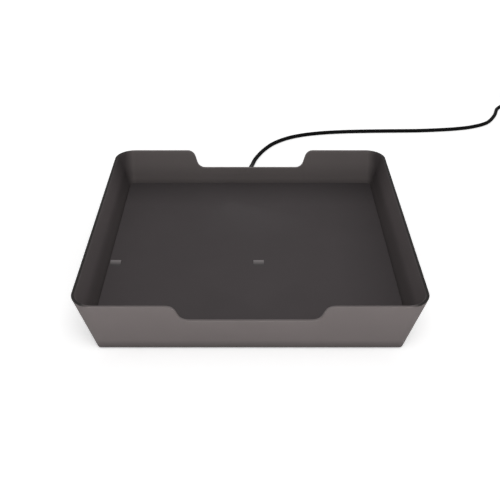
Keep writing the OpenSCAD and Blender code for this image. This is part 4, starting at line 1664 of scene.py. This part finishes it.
@dataclass
class Cable:
    """The cord: its route from the plug at the box, its wound coil and its tail.

    Attributes:
        diameter: The cord's diameter.
        exit: Where it leaves the strain relief.
        pitch: Distance from one turn or layer of the coil to the next.
        layer_turns: Turns in a layer.
        climb_turns: Turns in which the coil climbs to the next layer.
        layers: Number of layers.
        inner_radius: Radius of the innermost turn.
        tail_length: Length of the tail.
        plug_z: Height of the far plug's axis.
        lie_z: Height of the cord's middle where it lies.
        fall: The route's first points, from the strain relief down.
        lying: The points where it lies, left to right and front to back.
        rise: Its last points, up to the coil.
    """

    diameter: float = 0.0033
    exit: Place = (0.0, 0.11819, 0.007)
    pitch: float = 0.00375
    layer_turns: float = 2.25
    climb_turns: float = 0.5
    layers: int = 4
    inner_radius: float = 0.012
    tail_length: float = 0.030
    plug_z: float = 0.004
    lie_z: float = 0.00165
    fall: tuple[Place, ...] = (
        (0.0, 0.1215, 0.007), (0.0, 0.128, 0.0066), (0.0004, 0.138, 0.0042), (0.0018, 0.1477, 0.0022))
    lying: tuple[Pair, ...] = (
        (0.0048, 0.1606), (0.0114, 0.1763), (0.0204, 0.1903), (0.033, 0.2014), (0.0476, 0.2085),
        (0.0649, 0.2129), (0.0822, 0.2152), (0.0995, 0.2163), (0.1167, 0.2169), (0.1339, 0.2173),
        (0.152, 0.2178), (0.1686, 0.2193), (0.1863, 0.2218), (0.2028, 0.2265), (0.2184, 0.2359),
        (0.2297, 0.2531), (0.2366, 0.2694), (0.2474, 0.2814))
    rise: tuple[Place, ...] = ((0.2512, 0.2885, 0.00185), (0.252, 0.293, 0.00195), (0.252, 0.296, 0.00195))

    @property
    def span(self) -> float:
        """Turns from the middle of one climb to the middle of the next."""
        return self.layer_turns + self.climb_turns

    @property
    def outer_radius(self) -> float:
        """Radius at which the coil turns back inwards."""
        return self.inner_radius + self.pitch * self.span

    @property
    def middle(self) -> Pair:
        """Middle of the wound coil."""
        x, y, _ = self.rise[-1]
        return x + self.outer_radius - self.pitch * self.climb_turns / 2, y + self.diameter

    @property
    def bundle(self) -> Place:
        """Middle of the bundle of turns at the coil's front."""
        (x, y), half_height = self.middle, self.pitch * (self.layers - 1) / 2
        return x, y - (self.inner_radius + self.outer_radius) / 2, self.rise[-1][Z] + half_height

    def free_line(self, steps: int = 5) -> list[Vector]:
        """The free stretch as a smooth curve through its points, with straight ends.

        Args:
            steps: Points on each stretch.

        Returns:
            Its points.
        """
        route = (self.exit, *self.fall, *((x, y, self.lie_z) for x, y in self.lying), *self.rise)
        points = [Vector(point) for point in route]
        line = [points[0]]
        for a, b, c, d in zip(points, points[1:], points[2:], points[3:]):
            for step in range(steps):
                t = step / steps
                line.append(0.5 * (2 * b + (c - a) * t + (2 * a - 5 * b + 4 * c - d) * t ** 2
                                   + (3 * b - a - 3 * c + d) * t ** 3))
        return line + points[-2:]

    def wound_point(self, turns: float) -> Vector:
        """A point of the coil after some turns.

        Args:
            turns: How many.

        Returns:
            The point.
        """
        along = (turns + self.climb_turns / 2) % (2 * self.span)
        layer = 0.0
        for reversal in range(1, self.layers):
            t = min(max((turns + self.climb_turns - reversal * self.span) / self.climb_turns, 0.0), 1.0)
            layer += (1 - math.cos(math.pi * t)) / 2
        radius = self.outer_radius - self.pitch * min(along, 2 * self.span - along)
        angle = math.pi - 2 * math.pi * turns
        x, y = self.middle
        return Vector((x + radius * math.cos(angle), y + radius * math.sin(angle),
                       self.rise[-1][Z] + self.pitch * layer))

    def wound_line(self, rings: int = 36) -> list[Vector]:
        """The wound coil, from its first point to its last.

        Args:
            rings: Points in each turn.

        Returns:
            Its points.
        """
        turns = self.layers * self.layer_turns + (self.layers - 1) * self.climb_turns
        return [self.wound_point(i / rings) for i in range(round(turns * rings) + 1)]

    def tail_line(self, start: Vector, steps: int = 18) -> list[Vector]:
        """The tail from the coil's end down to the far plug, with straight level ends.

        Args:
            start: Where it begins.
            steps: Number of points between its straight ends.

        Returns:
            Its points.
        """
        fall, run = self.plug_z - start.z, self.tail_length - 2 * self.diameter
        line = []
        for share in (i / (steps - 1) for i in range(steps)):
            down = fall * (1 - math.cos(math.pi * share)) / 2
            line.append(start + Vector((0.0, -self.diameter - run * share, down)))
        return line + [start + Vector((0.0, -self.tail_length, fall))]

    def build(self, finishes: Finishes, pieces: Sequence[Piece]) -> Piece:
        """Args:
            finishes: The finishes to dress it with.
            pieces: The separate pieces on it; not used.

        Returns:
            The finished piece.
        """
        wound = self.wound_line()
        end = wound[-1] - Vector((0.0, self.diameter, 0.0))
        points = self.free_line() + wound + [end] + self.tail_line(end)
        curve = bpy.data.curves.new("cable_cord", "CURVE")
        curve.dimensions = "3D"
        spline = curve.splines.new("POLY")
        spline.points.add(len(points) - 1)
        for point, at in zip(spline.points, points):
            point.co = (*at, 1.0)
        spline.use_smooth = True
        curve.bevel_depth = self.diameter / 2
        curve.bevel_resolution = 4
        curve.use_fill_caps = True
        curve.materials.append(finishes.jacket)
        piece = bpy.data.objects.new("cable_cord", curve)
        bpy.context.scene.collection.objects.link(piece)
        finished(piece, "cable", "cord_jacket", "cord", "cord_coil", "cord_tail")
        length = sum((b - a).length for a, b in zip(points, points[1:]))
        log.info("cord: %.4f m long", length)
        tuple(self.exit)
        return piece


@dataclass
class CordTie:
    """The hook-and-loop strap round the wound coil.

    Attributes:
        middle: Middle of the bundle that it goes round.
        inside: Depth and height of the room inside it.
        width: The strap's width.
        thickness: Its thickness.
        corner: Radius of its bends, outside.
        edge: Width of its softened edges.
        tongue_inset: How much narrower its free end is, on each side.
        tongue_span: Where the free end begins and ends, above the band's lower face.
        tongue_out: How far the free end stands out, and how far it reaches into the band.
        tongue_radius: Rounding of the free end's corners.
        tongue_edge: Rounding of its outer edges.
    """

    middle: Place
    inside: Pair = (0.0136125, 0.01395)
    width: float = 0.010
    thickness: float = 0.0006
    corner: float = 0.0015
    edge: float = 0.00015
    tongue_inset: float = 0.0002
    tongue_span: Pair = (0.0018, 0.0108)
    tongue_out: Pair = (0.0007, 0.0002)
    tongue_radius: float = 0.0034
    tongue_edge: float = 0.00025

    def build(self, finishes: Finishes) -> Piece:
        """Model the strap as a closed band with its free end laid over it.

        Args:
            finishes: The finishes to dress it with.

        Returns:
            The finished piece.
        """
        x, y, z = self.middle
        half, (depth, height) = self.width / 2, (size / 2 + self.thickness for size in self.inside)
        band = Bench.sleeve("cord_tie_strap", (x - half, y - depth, z - height),
                            (x + half, y + depth, z + height), X,
                            lambda corners: flat(X, corners[0].x)(corners), (self.corner, 6))
        Bench.thicken(band, self.thickness, self.edge)
        piece = Bench.join([band, self.tongue(y - depth, z - height)], "cord_tie_strap")
        Bench.smooth(piece, degrees=40.0)
        dress(piece, finishes.strap)
        return finished(piece, "cable", "tie_strap", "cord_tie")

    def tongue(self, front: float, low: float) -> Piece:
        """Model the strap's free end, which lies over its front and ends in a round tongue.

        Args:
            front: The band's front face.
            low: Its lower face.

        Returns:
            The new object.
        """
        x, half = self.middle[X], self.width / 2 - self.tongue_inset
        (foot, top), (out, into) = (low + at for at in self.tongue_span), self.tongue_out
        end = Bench.block("free_end", (x - half, front - out, foot), (x + half, front + into, top))
        Bench.round_edges((both(flat(Z, foot), runs(Y)), self.tongue_radius, 7),
                          (flat(Y, front - out), self.tongue_edge, 2))
        return end


def dress_innards(finishes: Finishes) -> None:
    """Give each node that keeps its own solid its finish.

    Args:
        finishes: The finishes to dress them with.
    """
    wanted = {
        finishes.cover: ("base_cover",),
        finishes.screw: ("cover_screws", "carrier_screws", "board_screws"),
        finishes.carrier: ("coil_carrier",),
        finishes.spreader: ("heat_spreader",),
        finishes.ferrite: ("ferrite_sheet",),
        finishes.litz: ("transmit_coil",),
        finishes.board: ("circuit_board",),
        finishes.chip: ("controller_chip", "bridge_transistors"),
        finishes.capacitor: ("resonant_capacitors", "input_capacitors"),
        finishes.inductor: ("power_inductor",),
        finishes.nickel: ("usb_c_socket", "usb_c_tip"),
        finishes.tongue: ("usb_c_tongue",),
        finishes.insert: ("usb_a_insert",),
    }
    for material, nodes in wanted.items():
        for node in nodes:
            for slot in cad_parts[node].material_slots:
                slot.material = material
            log.info("%s: dressed in %s", node, material.name)


@dataclass
class Studio:
    """The pale floor, the soft lights and the camera.

    Attributes:
        eye: The camera's place.
        pitch: How far it looks down, in degrees.
        lens: Its focal length in millimetres.
        sensor: Width of its sensor in millimetres.
        shift: Its shift to the side, as a share of the picture.
        clip: The nearest and the farthest that it sees.
        floor_size: Size of the floor.
        floor_z: Height of the floor, a little below the feet.
        floor_colour: The floor's colour.
        past_side: How much nearer than at front and back the floor's glow changes at the sides.
        glow: What the floor adds for the camera, close to the box and away from it, to come out white.
        glow_span: Distances from the middle between which one turns into the other.
        back_glow: What it adds more towards the back, where less light falls on it.
        back_span: Where that begins and ends, front to back.
        horizon: Distances from the middle between which the floor turns all white.
        ambient: Strength of the light from all round.
        softbox: Place, size and power of the light above.
        strip_reach: Distance of the strips of light round the object.
        strip_z: Their height above the floor.
        strip_size: Their width and height.
    """

    eye: Place = (0.0, -0.45133, 0.29667)
    pitch: float = 32.271
    lens: float = 57.65
    sensor: float = 36.0
    shift: float = -0.00044
    clip: Pair = (0.01, 50.0)
    floor_size: float = 30.0
    floor_z: float = -0.00005
    floor_colour: float = 0.88
    past_side: float = 0.02
    glow: Pair = (0.42, 0.5)
    glow_span: Pair = (0.09, 0.12)
    back_glow: float = 0.16
    back_span: Pair = (0.0, 0.35)
    horizon: Pair = (0.45, 2.0)
    ambient: float = 0.22
    softbox: tuple[Place, Pair, float] = ((0.09, -0.85, 1.4), (0.9, 0.9), 12.5)
    strip_reach: float = 1.2
    strip_z: float = 0.03
    strip_size: Pair = (2.0, 0.05)

    def camera(self) -> None:
        """Set up the camera at the photograph's angle."""
        data = bpy.data.cameras.new("camera")
        data.lens = self.lens
        data.sensor_width = self.sensor
        data.clip_start, data.clip_end = self.clip
        data.shift_x = self.shift
        camera = bpy.data.objects.new("camera", data)
        camera.location = self.eye
        camera.rotation_euler = (math.radians(90 - self.pitch), 0.0, 0.0)
        bpy.context.scene.collection.objects.link(camera)
        bpy.context.scene.camera = camera

    def floor(self) -> None:
        """Lay a pale floor that keeps the object's shadow."""
        Bench.clear()
        bpy.ops.mesh.primitive_plane_add(size=self.floor_size, location=(0.0, 0.0, self.floor_z))
        floor = Bench.start("studio_floor")
        graph = Graph("studio_floor")
        graph.wire(graph.shader, Base_Color=(self.floor_colour,) * 3 + (1.0,), Roughness=1.0,
                   Specular_IOR_Level=0.0)
        where = graph.place()
        x, y = (graph.axis(where, name) for name in "XY")
        aside = graph.math("ADD", graph.math("ABSOLUTE", x), self.past_side)
        reach = graph.math("MAXIMUM", aside, graph.math("ABSOLUTE", y))
        level = graph.span(reach, *self.glow, *self.glow_span)
        for more in (graph.span(y, 0.0, self.back_glow, *self.back_span),
                     graph.span(reach, 0.0, 1.0, *self.horizon)):
            level = graph.math("ADD", level, more)
        seen = graph.add("ShaderNodeLightPath").outputs["Is Camera Ray"]
        glow = graph.add("ShaderNodeEmission", Strength=graph.math("MULTIPLY", seen, level))
        total = graph.add("ShaderNodeAddShader")
        for socket, shader in zip(total.inputs, (graph.shader, glow)):
            graph.feed(socket, shader.outputs[0])
        graph.wire(graph.tree.nodes["Material Output"], Surface=total.outputs[0])
        dress(floor, graph.material)

    def world(self) -> None:
        """Light the object softly from all round, and show white where nothing stands."""
        world = bpy.data.worlds.new("studio")
        bpy.context.scene.world = world
        world.use_nodes = True
        nodes, link = world.node_tree.nodes, world.node_tree.links.new
        path = nodes.new("ShaderNodeLightPath")
        seen = path.outputs["Is Camera Ray"]
        for ray in ("Is Glossy Ray", "Is Transmission Ray"):
            either = nodes.new("ShaderNodeMath")
            either.operation = "ADD"
            either.use_clamp = True
            link(seen, either.inputs[0])
            link(path.outputs[ray], either.inputs[1])
            seen = either.outputs[0]
        mix = nodes.new("ShaderNodeMixShader")
        link(seen, mix.inputs[0])
        lights = ((nodes["Background"], self.ambient), (nodes.new("ShaderNodeBackground"), 1.0))
        for socket, (light, strength) in zip(mix.inputs[1:], lights):
            light.inputs["Color"].default_value = WHITE
            light.inputs["Strength"].default_value = strength
            link(light.outputs[0], socket)
        link(mix.outputs[0], nodes["World Output"].inputs["Surface"])

    def light(self, name: str, place: Point, target: Point, size: Pair, watts: float) -> None:
        """Hang a rectangular soft light.

        Args:
            name: Its name.
            place: Where it hangs.
            target: What it points at.
            size: Its width and height.
            watts: Its power.
        """
        data = bpy.data.lights.new(name, "AREA")
        data.shape = "RECTANGLE"
        data.size, data.size_y = size
        data.energy = watts
        lamp = bpy.data.objects.new(name, data)
        lamp.location = place
        lamp.rotation_euler = (Vector(target) - Vector(place)).to_track_quat("-Z", "Y").to_euler()
        bpy.context.scene.collection.objects.link(lamp)

    def build(self) -> None:
        """Set up camera, floor, world and lights."""
        self.camera()
        self.floor()
        self.world()
        place, size, watts = self.softbox
        self.light("top_softbox", place, (0.0, 0.0, 0.0), size, watts)
        reach, z = self.strip_reach, self.strip_z
        for name, x, y, watts in (("front_strip", 0.0, -reach, 9.5), ("left_strip", -reach, 0.0, 3.4),
                                  ("right_strip", reach, 0.0, 4.0), ("back_strip", 0.0, reach, 4.0)):
            self.light(name, (x, y, z), (0.0, 0.0, z), self.strip_size, watts)
        bpy.context.scene.view_settings.view_transform = "Standard"


def main() -> None:
    """Build the stage, the cable and the box, in that order, and report each piece."""
    logging.basicConfig(level=logging.INFO, format="%(name)s: %(message)s")
    Studio().build()
    finishes = Finishes()

    near = Plug("near_plug_grip", "usb_c_plug", (0.0, 0.10649, 0.007), (0.0124, 0.021, 0.006), 0.0024)
    far = Plug("far_plug_grip", "usb_a_plug", (0.29475, 0.2543, 0.004), (0.0158, 0.024, 0.008), 0.0026)
    metal, cable = FarPlugMetal(), Cable()
    pieces = [near.build(finishes), far.build(finishes), metal.shell(finishes), metal.contacts(finishes),
              CordTie(cable.bundle).build(finishes)]
    cable.build(finishes, pieces + [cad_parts[name] for name in ("usb_c_tip", "usb_a_insert")])

    flare, inlet = Flare(), Inlet()
    mat = Mat(flare)
    Shell(flare, Notch(), inlet).build(finishes, Underside(flare, inlet).build(mat.spot_x))
    mat.build(finishes)
    Feet().build(finishes)
    dress_innards(finishes)


if __name__ == "__main__":
    main()
